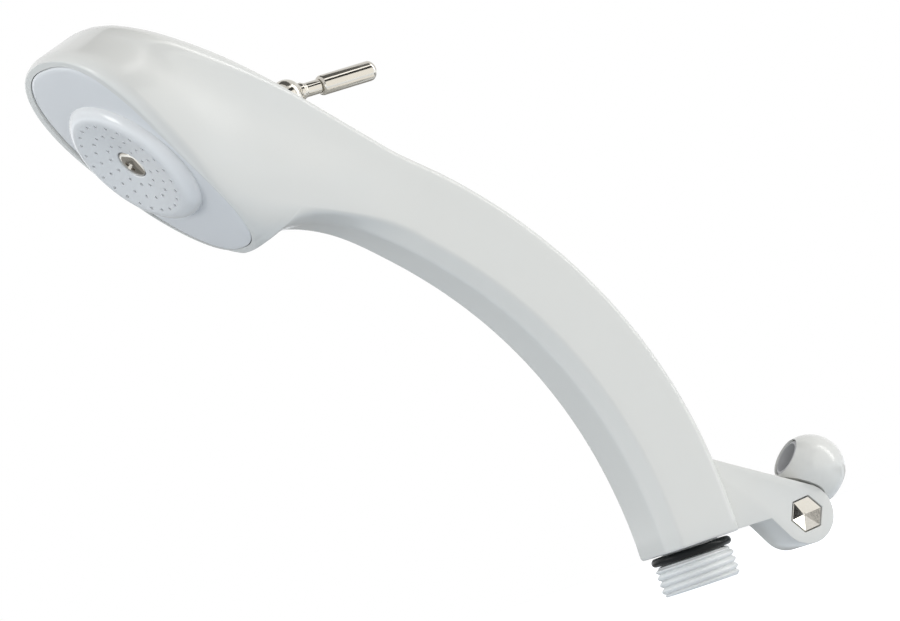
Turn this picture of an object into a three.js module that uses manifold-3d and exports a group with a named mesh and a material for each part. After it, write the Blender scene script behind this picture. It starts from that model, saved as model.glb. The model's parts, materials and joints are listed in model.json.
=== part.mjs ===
// Handheld shower head: one moulded arm and head with a domed face plate, a raised rose, a turning
// lever for the water valve on its back, a threaded hose spigot and a tilting ball eye for a riser
// rail. Millimetres. The origin is the centre of the spigot's end face, +Z runs up the spigot, -Y
// is the side that the spray leaves, and X is across. The object is symmetrical about X = 0.

import * as THREE from 'three';
import { mergeVertices } from 'three/addons/utils/BufferGeometryUtils.js';
import Module from 'manifold-3d';

const wasm = await Module();
wasm.setup();

// ---------------------------------------------------------------- driving dimensions

const CLEARANCE = 0.3; // running gap between neighbouring pieces
const OVERRUN = 1; // how far a cutter runs past the face that it cuts
const ROOTED = 0.5; // how far one feature of a piece is sunk into the next

// arm
const ARM_WIDTH = 21.8;
const ARM_DEPTH = 21.8;
const ARM_FOOT = 10.8; // height of the arm's lower end face
const ARM_RISE = 41; // straight pull of the arm's curve above its foot
const ARM_PULL = 40; // pull of the curve at its upper end
const ARM_TOP = { y: -45.2, z: 112.8 };
const ARM_LEAN = 47.7; // degrees from upright at its upper end
const FRONT_FLAT = 15; // width of the flat front face between the chamfers
const FRONT_CHAMFER = 3.4;
const BACK_RADIUS_FOOT = 3.2;
const BACK_RADIUS = 1.9;
const BACK_EASE = 0.35; // share of the arm over which the back's edges grow sharper
const ARM_BULGE = 0.1; // how round the chamfers are: 0 is flat, 1 is a full quarter round
const RIM_BULGE = 0.9;
const WALL = 2.6;

// head and face
const FACE_ANGLE = 57.5; // degrees between the face's long axis and the floor
const FACE_CENTRE = { y: -115.9, z: 148.1 };
// Two ovals, both broader towards the head's tip: the edge of the recess that holds the face
// plate, and the outside of the rim.
const SEAM = { halfLength: 35, halfWidth: 22.5, power: 2.5, egg: 0.15 };
const RIM = {
  halfLength: SEAM.halfLength + 2,
  halfWidth: SEAM.halfWidth + 2.7,
  power: 2.4,
  egg: 0.29,
};
const RIM_ROUNDING = 2.4;
const DOME_RADIUS = 260;
const HEAD_DEPTH = 31.9; // from the face to the back, behind the oval's centre
const HEAD_TAPER = 0.335; // depth lost for each millimetre towards the tip
const HEAD_SAG = 0.001;
const NOSE_LENGTH = 9;
const NOSE_POWER = 2.1;
const NOSE_RADIUS = 6.5; // of the back's edges at the head's tip
const NOSE_EASE = { from: -20, to: 22 };
const BACK_WIDTH_FOOT = 0.4; // share of the flare that the back edge follows, at the arm
const BACK_WIDTH_TIP = 0.8; // and at the head's tip
const BACK_WIDTH_EASE = { from: -50, to: 25 };
const BACK_CROWN = 1;
const JOIN = -8; // where the oval's side leaves the rim and flares back into the arm
const FLARE_LENGTH = 62;
const NECK_START = -46; // height on the face above which the ribs stand square to it
const NECK_PULL = 7;
const CHIN_RUN = 20.8; // pull of the hollow curve under the chin, along the arm
const CHIN_RISE = { y: -1.75, z: -15.2 }; // and its pull at the rim
const CHIN_EDGE = 3; // half width of the chin where the hollow curve reaches the rim
const SHOULDER_SLOPE = 0.15; // slope of the chamfer's upper edge where it runs into the head
const SHOULDER_DEPTH = 3; // depth of the rim's rounding below the face

// face plate and rose
const PLATE_THICKNESS = 2;
const PLATE_COLLAR = 1.4; // width of the ring on the chamber that the plate lies on
const ROSE_OFFSET = 1.7; // from the oval's centre towards the tip
const ROSE_ANGLE = 60; // the rose is tipped a little further forward than the plate
const ROSE_LIFT = 0.5;
const ROSE_BASE_RADIUS = 20.4;
const ROSE_HEIGHT = 3.1;
const ROSE_FACE_RADIUS = 16.2;
const ROSE_ROUNDING = 0.6; // how far the shoulder's round runs below the plate
const ROSE_DISH = 1.9; // how much deeper the face is at its centre
const ROSE_WALL = 1.8;
const ROSE_SPIGOT_RADIUS = 16.4;
const ROSE_SPIGOT_DEPTH = 6;
const ROSE_RIM_DEPTH = 1.5; // depth of the rose's outer flange below the plate
const NOZZLE_DIAMETER = 1.1;
const NOZZLE_MARGIN = 1.1; // from the outer ring of nozzles to the edge of the rose's face
const NOZZLE_PITCH = 4;
const NOZZLE_ROWS = [24, 18, 12].map((count, row) => (
  { radius: ROSE_FACE_RADIUS - NOZZLE_MARGIN - row * NOZZLE_PITCH, count }
));
const SCREW_HEAD_RADIUS = 4.1;
const SCREW_HEAD_HEIGHT = 1.8;
const SCREW_DOME = 1.2;
const SCREW_RADIUS = 1.8;
const SCREW_LENGTH = 9;
const SCREW_SINK = 0.3; // the rim of the head lies this far below the rose's face
const CROSS_LENGTH = 3.4; // of the driver's cross in the head
const CROSS_WIDTH = 0.8;
const CROSS_DEPTH = 1.3;
const HUB_WALL = 1.2;
const SCREW_FLOOR = 1.4; // of the rose under the screw's head
const WASHER_SQUEEZED = 0.35; // thickness of the screw's rubber washer when it is done up

// spray chamber
const CHAMBER_WALL = 1.5;
const CHAMBER_DEPTH = 12.5; // floor of the chamber below the rose's base
const GASKET_THICKNESS = 1.2;
const SPREADER_THICKNESS = 1.2;
const SPREADER_DROP = 2.6; // from the gasket's seat to the spreader's underside
const SPREADER_HOLES = { count: 10, radius: 1.5 };
const SPREADER_LEDGE = 1;
const INSERT_RADIUS = 3.2;
const HUB_RADIUS = 4.9;
const FLANGE_THICKNESS = 1.5;
const LEDGE_WIDTH = 2;
const LEDGE_DEPTH = 7.4; // the ledge in the head that carries the chamber's flange
const FLANGE_SCREW_PLACE = SEAM.halfLength - 3.8; // from the oval's centre, one each way
const FLANGE_SCREW_RADIUS = 1.3;
const FLANGE_SCREW_LENGTH = 7;
const FLANGE_SCREW_HEAD = { radius: 2.2, height: 1 };
const FLANGE_BOSS_RADIUS = 3.4;
const FEED_RADIUS = 2.2; // bore of the chamber's inlet
const FEED_PLACE = 7; // inlet's distance from the rose's axis, towards the tip
const STUB_LENGTH = 4;

// lever and valve; depths and lengths are measured from the centre of the lever's ball
const VALVE_PLACE = -20.54; // where the valve stands behind the face, from the oval's centre
const BALL_LIFT = 3.54; // from the back's line to the ball's centre
const VALVE_TILT = 16.5; // degrees that the valve's axis is tipped from the face's towards the tip
const LEVER_LEAN = 50; // degrees between the valve's axis and the lever
const BALL_RADIUS = 4.3;
const ROD_RADIUS = 1.9;
const ROD_COLLAR = { radius: 2.05, height: 0.6 };
const ROD_TAIL_RADIUS = 1; // screwed into the ball
const ROD_TAIL_DEPTH = 1.2;
const ROD_TIP = { radius: 1.2, length: 6 }; // pressed into the grip
const GRIP_RADIUS = 2.65;
const GRIP_START = 10.2;
const GRIP_END = 26.7;
const GRIP_ROUNDING = 0.6;
const SPINDLE_RADIUS = 3;
const SPINDLE_FOOT = 11.8; // depth of the shoulder where the drive square starts
const SPINDLE_RING_DEPTHS = [6.4, 9];
const RING_SECTION = 0.35; // radius of the small O-rings' round section
const RING_GROOVE = { depth: 0.7, halfHeight: 0.9 };
const CLIP_THICKNESS = 0.55;
const CLIP_GROOVE = { depth: 0.6, height: 0.8, foot: 0.2 };
const DRIVE_SQUARE = 3.6;
const DRIVE_LENGTH = 2;
const BONNET_SEAT = 3.6; // depth of the flat seat cut into the back
const BONNET_FLANGE_RADIUS = 6.8;
const BONNET_FLANGE_HEIGHT = 1.7;
const BONNET_CHAMFER = 0.4;
const BONNET_BARREL_RADIUS = 5.2;
const BONNET_LENGTH = 10.4;
const VALVE_RADIUS = 8.4;
const VALVE_TOP = 6.8;
const VALVE_FLOOR = 22.4;
const VALVE_PAD = 0.8; // how much wider the body's pad is than the valve
const ROTOR_RADIUS = 5;
const ROTOR_TOP = 12.1;
const ROTOR_FOOT = 20.6;
const PORT_DEPTH = 17.2;
const PORT_RADIUS = 2.2;
const SEAT_RING_RADIUS = 3.5;
const SEAT_RING_THICKNESS = 1.2;

// water tube, hose and spigot
const TUBE_BORE_RADIUS = 3.9;
const TUBE_WALL = 1.3;
const STUB_BORE_RADIUS = 2.6;
const VALVE_STUB_END = 15;
const OUTLET_STUB_END = 12.4;
const TUBE_LEAD = 3; // straight run past the stub's end
const TUBE_ON_ARM = [0.93, 0.78, 0.62, 0.45, 0.32]; // where the tube follows the arm's middle line
const FEED_HOSE_WALL = 0.9;
const FEED_HOSE_PULL = { chamber: 8, valve: 7 };
const THREAD_RADIUS = 10.48;
const THREAD_LENGTH = 7.8;
const THREAD_CHAMFER = 0.9;
const SPIGOT_NECK_RADIUS = 8.2;
const SPIGOT_BARREL_RADIUS = 7.5;
const SPIGOT_BARREL_TOP = 24;
const SPIGOT_STUB_TOP = 32;
const SPIGOT_SEAL_HEIGHT = 18;
const SPIGOT_SEAL_SECTION = 0.5;
const SPIGOT_GROOVE = { depth: 1.2, halfHeight: 1.1 };
const FILTER_SEAT_RADIUS = 7.2;
const FILTER_SEAT_DEPTH = 4.6;
const FILTER_THICKNESS = 1.4;
const FILTER_HOLE_RADIUS = 0.8;
const FILTER_ROWS = [
  { radius: 0, count: 1 },
  { radius: 2.4, count: 6 },
  { radius: 4.8, count: 12 },
];
const COLLAR_RING_SECTION = 1.15;

// bracket lug, ball eye and pivot
const LUG_WIDTH = 13.2;
const PIVOT = { y: 32.1, z: 9 };
const LUG_END_RADIUS = 7.8;
const LUG_TOP = 30.2; // where the lug's upper edge leaves the arm's back
const LUG_CORNER = 21.9; // where the lug's underside leaves the arm's foot plane
const TONGUE_WIDTH = 3.6;
const TONGUE_RADIUS = 6;
const STEM_WIDTH = 7;
const EYE_RADIUS = 9.2;
const EYE_REACH = 13.37; // from the pivot to the ball's centre
const EYE_ANGLE = 51; // degrees above level at rest
const EYE_LIFT = 8; // degrees that the eye tilts up from rest
const EYE_BORE_RADIUS = 5.1;
const EYE_BORE_ANGLE = 137.4; // direction of the bore, degrees from +Y
const SLEEVE_WALL = 0.8;
const SLEEVE_INSET = 0.2; // how far the sleeve's mouths lie inside the ball
const BOLT_RADIUS = 2.4;
const BOLT_HEAD_FLATS = 8;
const BOLT_HEAD_HEIGHT = 2;
const BOLT_HEAD_DISH = 0.7;
const BOLT_HEX_TURN = 5; // degrees that a corner of the hexagon stands above level
const POCKET_DEPTH = 2.5;
const NUT_RECESS = 0.2;
const WASHER_THICKNESS = 0.4;
const WASHER_RADIUS = 5.2;
const TONGUE_GAP = 0.4; // between the tongue's round end and the slot's floor

// facets
const ROUND = 28; // sides of a large round piece
const SMALL_ROUND = 16;
const TINY_ROUND = 5;
const BALL_ROUND = 24; // sides of the lever's ball
const SOCKET_ROUND = 10;
const ARM_RIBS = 14;
const CHIN_RIBS = 10;
const FACE_RIBS = 16;
const ARC_STEPS = 4;

// sizes that follow from the ones above
const STUB_RADIUS = TUBE_BORE_RADIUS - CLEARANCE;
const FEED_HOSE_BORE_RADIUS = STUB_RADIUS + CLEARANCE;
const CHAMBER_RADIUS = ROSE_SPIGOT_RADIUS + CLEARANCE;
const ROSE_HOLE_RADIUS = CHAMBER_RADIUS + CHAMBER_WALL + CLEARANCE;
const SPREADER_RADIUS = ROSE_SPIGOT_RADIUS - CHAMBER_WALL - PLATE_COLLAR;
const CHAMBER_FLOOR = -CHAMBER_DEPTH;
const GASKET_FOOT = -ROSE_SPIGOT_DEPTH - CLEARANCE - GASKET_THICKNESS;
const SPREADER_FOOT = GASKET_FOOT - CLEARANCE - SPREADER_DROP;
const SLOT_WIDTH = TONGUE_WIDTH + 2 * WASHER_THICKNESS + 4 * CLEARANCE;

// ---------------------------------------------------------------- small tools

const rad = THREE.MathUtils.degToRad;
const { lerp, clamp, smoothstep } = THREE.MathUtils;
const times = (count, make) => Array.from({ length: count }, (_, i) => make(i));
const turnOf = (i, count) => (2 * Math.PI * i) / count;

function volumeOf(geometry) {
  const p = geometry.attributes.position;
  const [a, b, c] = times(3, () => new THREE.Vector3());
  let sum = 0;
  for (let i = 0; i < geometry.index.count; i += 3) {
    a.fromBufferAttribute(p, geometry.index.getX(i));
    b.fromBufferAttribute(p, geometry.index.getX(i + 1));
    c.fromBufferAttribute(p, geometry.index.getX(i + 2));
    sum += a.dot(b.cross(c));
  }
  return sum;
}

// A closed three.js geometry as a solid that can be joined and cut, with its faces pointing out.
function solid(geometry, frame = new THREE.Matrix4()) {
  const bare = geometry.clone().applyMatrix4(frame);
  bare.deleteAttribute('normal');
  bare.deleteAttribute('uv');
  const merged = mergeVertices(bare, 1e-4);
  const triVerts = new Uint32Array(merged.index.array);
  if (volumeOf(merged) < 0) triVerts.reverse();
  const vertProperties = new Float32Array(merged.attributes.position.array);
  return new wasm.Manifold(new wasm.Mesh({ numProp: 3, vertProperties, triVerts }));
}

const join = (...pieces) => pieces.reduce((sum, piece) => sum.add(piece));
const cut = (piece, ...tools) => tools.reduce((left, tool) => left.subtract(tool), piece);

function geometryOf(piece) {
  const { vertProperties, triVerts } = piece.getMesh();
  const geometry = new THREE.BufferGeometry();
  geometry.setAttribute('position', new THREE.BufferAttribute(vertProperties, 3));
  geometry.setIndex(new THREE.BufferAttribute(triVerts, 1));
  geometry.computeVertexNormals();
  return geometry;
}

// A profile of [radius, height] points turned about the local Z axis.
function turned(profile, sides = ROUND) {
  const points = profile.map(([r, z]) => new THREE.Vector2(r, z));
  return new THREE.LatheGeometry(points, sides).rotateX(Math.PI / 2);
}

function disc(radius, from, to, sides = ROUND) {
  return turned([[0, from], [radius, from], [radius, to], [0, to]], sides);
}

function sleeve(inner, outer, from, to, sides = ROUND) {
  return turned([[inner, from], [outer, from], [outer, to], [inner, to], [inner, from]], sides);
}

// A round-section ring about the local Z axis.
function ring(radius, section, height, sides = ROUND) {
  return new THREE.TorusGeometry(radius, section, 6, sides).translate(0, 0, height);
}

function prism(points, from, to) {
  const shape = new THREE.Shape(points.map(([x, y]) => new THREE.Vector2(x, y)));
  const depth = to - from;
  return new THREE.ExtrudeGeometry(shape, { depth, bevelEnabled: false }).translate(0, 0, from);
}

function hexagon(flats, turnDegrees) {
  const corner = flats / Math.sqrt(3);
  return times(6, (i) => {
    const angle = rad(turnDegrees) + turnOf(i, 6);
    return [corner * Math.cos(angle), corner * Math.sin(angle)];
  });
}

const square = (side) => [[-side, -side], [side, -side], [side, side], [-side, side]];

const circle = (radius, sides) => times(sides, (i) => [
  radius * Math.cos(turnOf(i, sides)),
  radius * Math.sin(turnOf(i, sides)),
]);

// Points given as [y, z] make a prism that runs along X from one side to the other.
function acrossX(points, from, to, frame = new THREE.Matrix4()) {
  const turn = new THREE.Matrix4().set(0, 0, 1, 0, 1, 0, 0, 0, 0, 1, 0, 0, 0, 0, 0, 1);
  return solid(prism(points, from, to).applyMatrix4(turn), frame);
}

// A round tube with an open bore along a curve.
function tubeAlong(curve, inner, outer, steps, sides) {
  const outline = (radius) => circle(radius, sides).map(([x, y]) => new THREE.Vector2(x, y));
  const shape = new THREE.Shape(outline(outer));
  shape.holes.push(new THREE.Path(outline(inner)));
  return new THREE.ExtrudeGeometry(shape, { steps, bevelEnabled: false, extrudePath: curve });
}

// A skin stretched over rings of points, closed at both ends.
function loft(rings) {
  const count = rings[0].length;
  const positions = rings.flat().flatMap((p) => [p.x, p.y, p.z]);
  const index = [];
  for (let i = 0; i + 1 < rings.length; i += 1) {
    for (let j = 0; j < count; j += 1) {
      const k = (j + 1) % count;
      const [a, b] = [i * count + j, i * count + k];
      index.push(a, b, b + count, a, b + count, a + count);
    }
  }
  for (const [end, first] of [[rings[0], 0], [rings[rings.length - 1], (rings.length - 1) * count]]) {
    const centre = end.reduce((sum, p) => sum.add(p), new THREE.Vector3()).divideScalar(count);
    positions.push(centre.x, centre.y, centre.z);
    const hub = positions.length / 3 - 1;
    for (let j = 0; j < count; j += 1) {
      const edge = [first + j, first + ((j + 1) % count)];
      index.push(hub, ...(first === 0 ? edge.reverse() : edge));
    }
  }
  const geometry = new THREE.BufferGeometry();
  geometry.setAttribute('position', new THREE.Float32BufferAttribute(positions, 3));
  geometry.setIndex(index);
  return geometry;
}

// ---------------------------------------------------------------- frames

// A frame on the plane X = 0, turned about X so that its own Z axis leans by the given degrees
// from upright towards the spray side.
function frameAt({ y, z }, lean) {
  return new THREE.Matrix4().makeRotationX(rad(lean)).setPosition(0, y, z);
}

const along = (frame, y, z) => new THREE.Vector3(0, y, z).applyMatrix4(frame);

// Face frame: Y runs up the face to the head's tip, and Z points out of the face.
const faceFrame = frameAt(FACE_CENTRE, 180 - FACE_ANGLE);
const worldToFace = faceFrame.clone().invert();
const domeHeight = (x, y) => -(x * x + y * y) / (2 * DOME_RADIUS);
const roseCentre = along(faceFrame, ROSE_OFFSET, domeHeight(ROSE_BASE_RADIUS, 0) + ROSE_LIFT);
const roseFrame = frameAt(roseCentre, 180 - ROSE_ANGLE);
const roseToFace = worldToFace.clone().multiply(roseFrame);
const faceToRose = roseToFace.clone().invert();

// Depth of the back below the face, rounded off at the nose.
function headDepth(y) {
  const depth = HEAD_DEPTH - HEAD_TAPER * y - HEAD_SAG * y * y;
  const nose = clamp((y - RIM.halfLength + NOSE_LENGTH) / NOSE_LENGTH, 0, 1);
  return depth * (1 - nose ** NOSE_POWER) ** (1 / NOSE_POWER);
}

// Valve frame: its origin is the centre of the lever's ball, Z points out of the head's back
// and Y runs down the neck.
const ballCentre = along(faceFrame, VALVE_PLACE, -headDepth(VALVE_PLACE) - BALL_LIFT);
const valveFrame = frameAt(ballCentre, VALVE_TILT - FACE_ANGLE);
const pivotFrame = frameAt(PIVOT, 0);

// ---------------------------------------------------------------- outline of the face

function ovalHalfWidth(y, oval, grow = 0) {
  const share = y / (oval.halfLength + grow);
  if (Math.abs(share) >= 1) return 0;
  const round = (1 - Math.abs(share) ** oval.power) ** (1 / oval.power);
  return (oval.halfWidth + grow) * round * (1 + oval.egg * share);
}

function ovalOutline(grow, steps = 18) {
  const side = times(steps + 1, (i) => {
    const y = -(SEAM.halfLength + grow) * Math.cos((Math.PI * i) / steps);
    return [ovalHalfWidth(y, SEAM, grow), y];
  });
  return [...side, ...side.slice(1, -1).reverse().map(([x, y]) => [-x, y])];
}

// ---------------------------------------------------------------- lines of the moulded body

const armTangentTop = new THREE.Vector3(0, -Math.sin(rad(ARM_LEAN)), Math.cos(rad(ARM_LEAN)));
const armTop = new THREE.Vector3(0, ARM_TOP.y, ARM_TOP.z);
const armCurve = new THREE.CubicBezierCurve3(
  new THREE.Vector3(0, 0, ARM_FOOT),
  new THREE.Vector3(0, 0, ARM_FOOT + ARM_RISE),
  armTop.clone().addScaledVector(armTangentTop, -ARM_PULL),
  armTop,
);

const rimTip = RIM.halfLength;
const armHalf = ARM_WIDTH / 2;
const rimHalf = (y) => ovalHalfWidth(y, RIM);

// Half width of the head's side: the rim itself, then a smooth flare down to the arm.
function sideHalfAt(y) {
  if (y >= JOIN) return rimHalf(y);
  const t = clamp((JOIN - y) / FLARE_LENGTH, 0, 1);
  const slope = ((rimHalf(JOIN - 1) - rimHalf(JOIN + 1)) / 2) * FLARE_LENGTH;
  const start = 2 * t ** 3 - 3 * t ** 2 + 1;
  return lerp(armHalf, rimHalf(JOIN), start) + slope * (t ** 3 - 2 * t ** 2 + t);
}

const toFront = (tangent) => new THREE.Vector3(0, -tangent.z, tangent.y);
const armFrontEnd = armTop.clone().addScaledVector(toFront(armTangentTop), ARM_DEPTH / 2);
const armBackEnd = armTop.clone().addScaledVector(toFront(armTangentTop), -ARM_DEPTH / 2);

// Front line under the chin: it leaves the arm straight on and turns up in a hollow curve to
// the rim. The back line of the neck runs on from the arm into the head's back.
const chinTop = { y: -rimTip, z: domeHeight(0, rimTip) };
const chinCurve = new THREE.CubicBezierCurve3(
  armFrontEnd,
  armFrontEnd.clone().addScaledVector(armTangentTop, CHIN_RUN),
  along(faceFrame, chinTop.y + CHIN_RISE.y, chinTop.z + CHIN_RISE.z),
  along(faceFrame, chinTop.y, chinTop.z),
);
const backSlope = HEAD_TAPER + 2 * HEAD_SAG * NECK_START;
const neckCurve = new THREE.CubicBezierCurve3(
  armBackEnd,
  armBackEnd.clone().addScaledVector(armTangentTop, NECK_PULL),
  along(faceFrame, NECK_START - NECK_PULL, -headDepth(NECK_START) - NECK_PULL * backSlope),
  along(faceFrame, NECK_START, -headDepth(NECK_START)),
);
const neckFoot = armFrontEnd.clone().applyMatrix4(worldToFace);

// One rib of the arm: the front and back points of its plane and the widths between them.
function armRib(t) {
  const centre = armCurve.getPoint(t);
  const front = toFront(armCurve.getTangent(t));
  return {
    front: centre.clone().addScaledVector(front, ARM_DEPTH / 2),
    back: centre.clone().addScaledVector(front, -ARM_DEPTH / 2),
    sideHalf: armHalf,
    backHalf: armHalf,
    frontHalf: FRONT_FLAT / 2,
    shoulder: FRONT_CHAMFER,
    bulge: ARM_BULGE,
    backRadius: lerp(BACK_RADIUS_FOOT, BACK_RADIUS, smoothstep(t, 0, BACK_EASE)),
    frontInset: WALL,
  };
}

// A rib of the head whose front point is given in the face frame.
function headRib({ y, z: high }) {
  const start = neckFoot.y;
  const neckShare = clamp((y - start) / (NECK_START - start), 0, 1);
  const onRim = y >= -rimTip;
  const sideHalf = sideHalfAt(y);
  const lowShoulder = neckFoot.z - FRONT_CHAMFER + (y - start) * SHOULDER_SLOPE;
  const rimShoulder = domeHeight(0, y) - SHOULDER_DEPTH;
  const shoulderHeight = lerp(lowShoulder, rimShoulder, smoothstep(y, start, JOIN));
  const toChin = smoothstep(y, start, -rimTip);
  const spread = smoothstep(y, BACK_WIDTH_EASE.from, BACK_WIDTH_EASE.to);
  const roundOff = smoothstep(y, NOSE_EASE.from, NOSE_EASE.to);
  return {
    y,
    front: along(faceFrame, y, high),
    back: y < NECK_START ? neckCurve.getPoint(neckShare) : along(faceFrame, y, -headDepth(y)),
    sideHalf,
    backHalf: armHalf + (sideHalf - armHalf) * lerp(BACK_WIDTH_FOOT, BACK_WIDTH_TIP, spread),
    frontHalf: onRim
      ? Math.max(rimHalf(y) - RIM_ROUNDING, rimHalf(y) / 2)
      : lerp(FRONT_FLAT / 2, CHIN_EDGE, toChin),
    shoulder: Math.max(high - shoulderHeight, RIM_ROUNDING),
    bulge: lerp(ARM_BULGE, RIM_BULGE, toChin),
    backRadius: lerp(BACK_RADIUS, NOSE_RADIUS, roundOff),
    frontInset: onRim ? high + LEDGE_DEPTH + LEDGE_WIDTH : WALL * lerp(1, 1.6, toChin),
  };
}

// Ring of points of one rib, drawn in its own plane, moved in from the outside by inset. Half of
// it runs from the middle of the back round the side to the middle of the front.
function ribRing(rib, inset = 0) {
  const outward = rib.front.clone().sub(rib.back);
  const depth = outward.length();
  outward.normalize();
  const hollow = inset > 0;
  const bottom = inset;
  const top = hollow ? depth - rib.frontInset : depth;
  const shoulderAt = Math.min(depth - rib.shoulder, top - ROOTED);
  const sideHalf = rib.sideHalf - inset;
  const backHalf = rib.backHalf - inset;
  const cutShare = clamp((top - shoulderAt) / rib.shoulder, 0, 1);
  const widthAtTop = hollow && rib.y >= -rimTip
    ? lerp(rib.sideHalf, rib.frontHalf, cutShare) - inset
    : rib.frontHalf - 0.4 * inset;
  const frontHalf = Math.min(widthAtTop, sideHalf - CLEARANCE);
  const wished = Math.max(rib.backRadius - inset / 2, 0.8);
  const r = Math.min(wished, 0.8 * backHalf, 0.42 * (shoulderAt - bottom));
  const crown = bottom - BACK_CROWN * Math.min(1, backHalf / armHalf - 0.6);
  const half = [[0, crown], [0.6 * (backHalf - r), lerp(crown, bottom, 0.36)]];
  for (let i = 0; i <= ARC_STEPS; i += 1) {
    const a = (Math.PI / 2) * (i / ARC_STEPS);
    half.push([backHalf - r + r * Math.sin(a), bottom + r - r * Math.cos(a)]);
  }
  for (let i = 0; i <= ARC_STEPS; i += 1) {
    const share = i / ARC_STEPS;
    const a = (Math.PI / 2) * share;
    const roundX = frontHalf + (sideHalf - frontHalf) * Math.cos(a);
    const roundV = shoulderAt + (top - shoulderAt) * Math.sin(a);
    half.push([
      lerp(lerp(sideHalf, frontHalf, share), roundX, rib.bulge),
      lerp(lerp(shoulderAt, top, share), roundV, rib.bulge),
    ]);
  }
  half.push([0, top]);
  const mirrored = half.slice(1, -1).reverse().map(([x, v]) => [-x, v]);
  return [...half, ...mirrored].map(([x, v]) => rib.back.clone().addScaledVector(outward, v).setX(x));
}

const armRibs = times(ARM_RIBS + 1, (i) => armRib(i / ARM_RIBS));
const chinRibs = times(CHIN_RIBS, (i) => (i + 1) / (CHIN_RIBS + 1))
  .map((t) => headRib(chinCurve.getPoint(t).applyMatrix4(worldToFace)));
// the first and last ribs stop just short of the rim's ends
const faceRibs = times(FACE_RIBS, (i) => -rimTip * Math.cos((Math.PI * (i + 0.3)) / (FACE_RIBS - 0.3)))
  .map((y) => headRib({ y, z: domeHeight(0, y) }));
const headRibs = [...chinRibs, ...faceRibs];

// ---------------------------------------------------------------- bracket lug

// Side view of the lug, as [y, z] points, with its end round about the pivot.
function lugOutline(grow) {
  const r = LUG_END_RADIUS + grow;
  const tangentAngle = (from, turn) => {
    const [dy, dz] = [from.y - PIVOT.y, from.z - PIVOT.z];
    return Math.atan2(dz, dy) + turn * Math.acos(r / Math.hypot(dy, dz));
  };
  const armBack = ARM_DEPTH / 2;
  const fullTurn = 2 * Math.PI;
  const under = tangentAngle({ y: LUG_CORNER, z: ARM_FOOT - grow }, 1) - fullTurn;
  const over = tangentAngle({ y: armBack, z: LUG_TOP + grow }, -1);
  const arc = times(ROUND / 2 + 1, (i) => {
    const a = lerp(under < -Math.PI ? under + fullTurn : under, over, i / (ROUND / 2));
    return [PIVOT.y + r * Math.cos(a), PIVOT.z + r * Math.sin(a)];
  });
  const root = armBack - 2 * WALL;
  return [
    [root, ARM_FOOT - grow],
    [LUG_CORNER, ARM_FOOT - grow],
    ...arc,
    [armBack, LUG_TOP + grow],
    [root, LUG_TOP + grow + 2 * WALL],
  ];
}

function lug() {
  const half = LUG_WIDTH / 2;
  const slot = SLOT_WIDTH / 2;
  const reach = TONGUE_RADIUS + TONGUE_GAP;
  const far = 5 * reach;
  const bracket = acrossX(lugOutline(0), -half, half);
  const round = acrossX(circle(reach, ROUND), -slot, slot, pivotFrame);
  const upward = [[-reach, 0], [0, 0], [0, -reach], [far, -reach], [far, far], [-reach, far]];
  const open = acrossX(upward, -slot, slot, pivotFrame);
  const boltHole = circle(BOLT_RADIUS + CLEARANCE, SMALL_ROUND);
  const hole = acrossX(boltHole, -half - OVERRUN, half + OVERRUN, pivotFrame);
  const hex = hexagon(BOLT_HEAD_FLATS + 2 * CLEARANCE, BOLT_HEX_TURN);
  const nearPocket = acrossX(hex, half - POCKET_DEPTH, half + OVERRUN, pivotFrame);
  const farPocket = acrossX(hex, -half - OVERRUN, -half + POCKET_DEPTH, pivotFrame);
  return { bracket, cuts: [round, open, hole, nearPocket, farPocket] };
}

// ---------------------------------------------------------------- the moulded body

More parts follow.
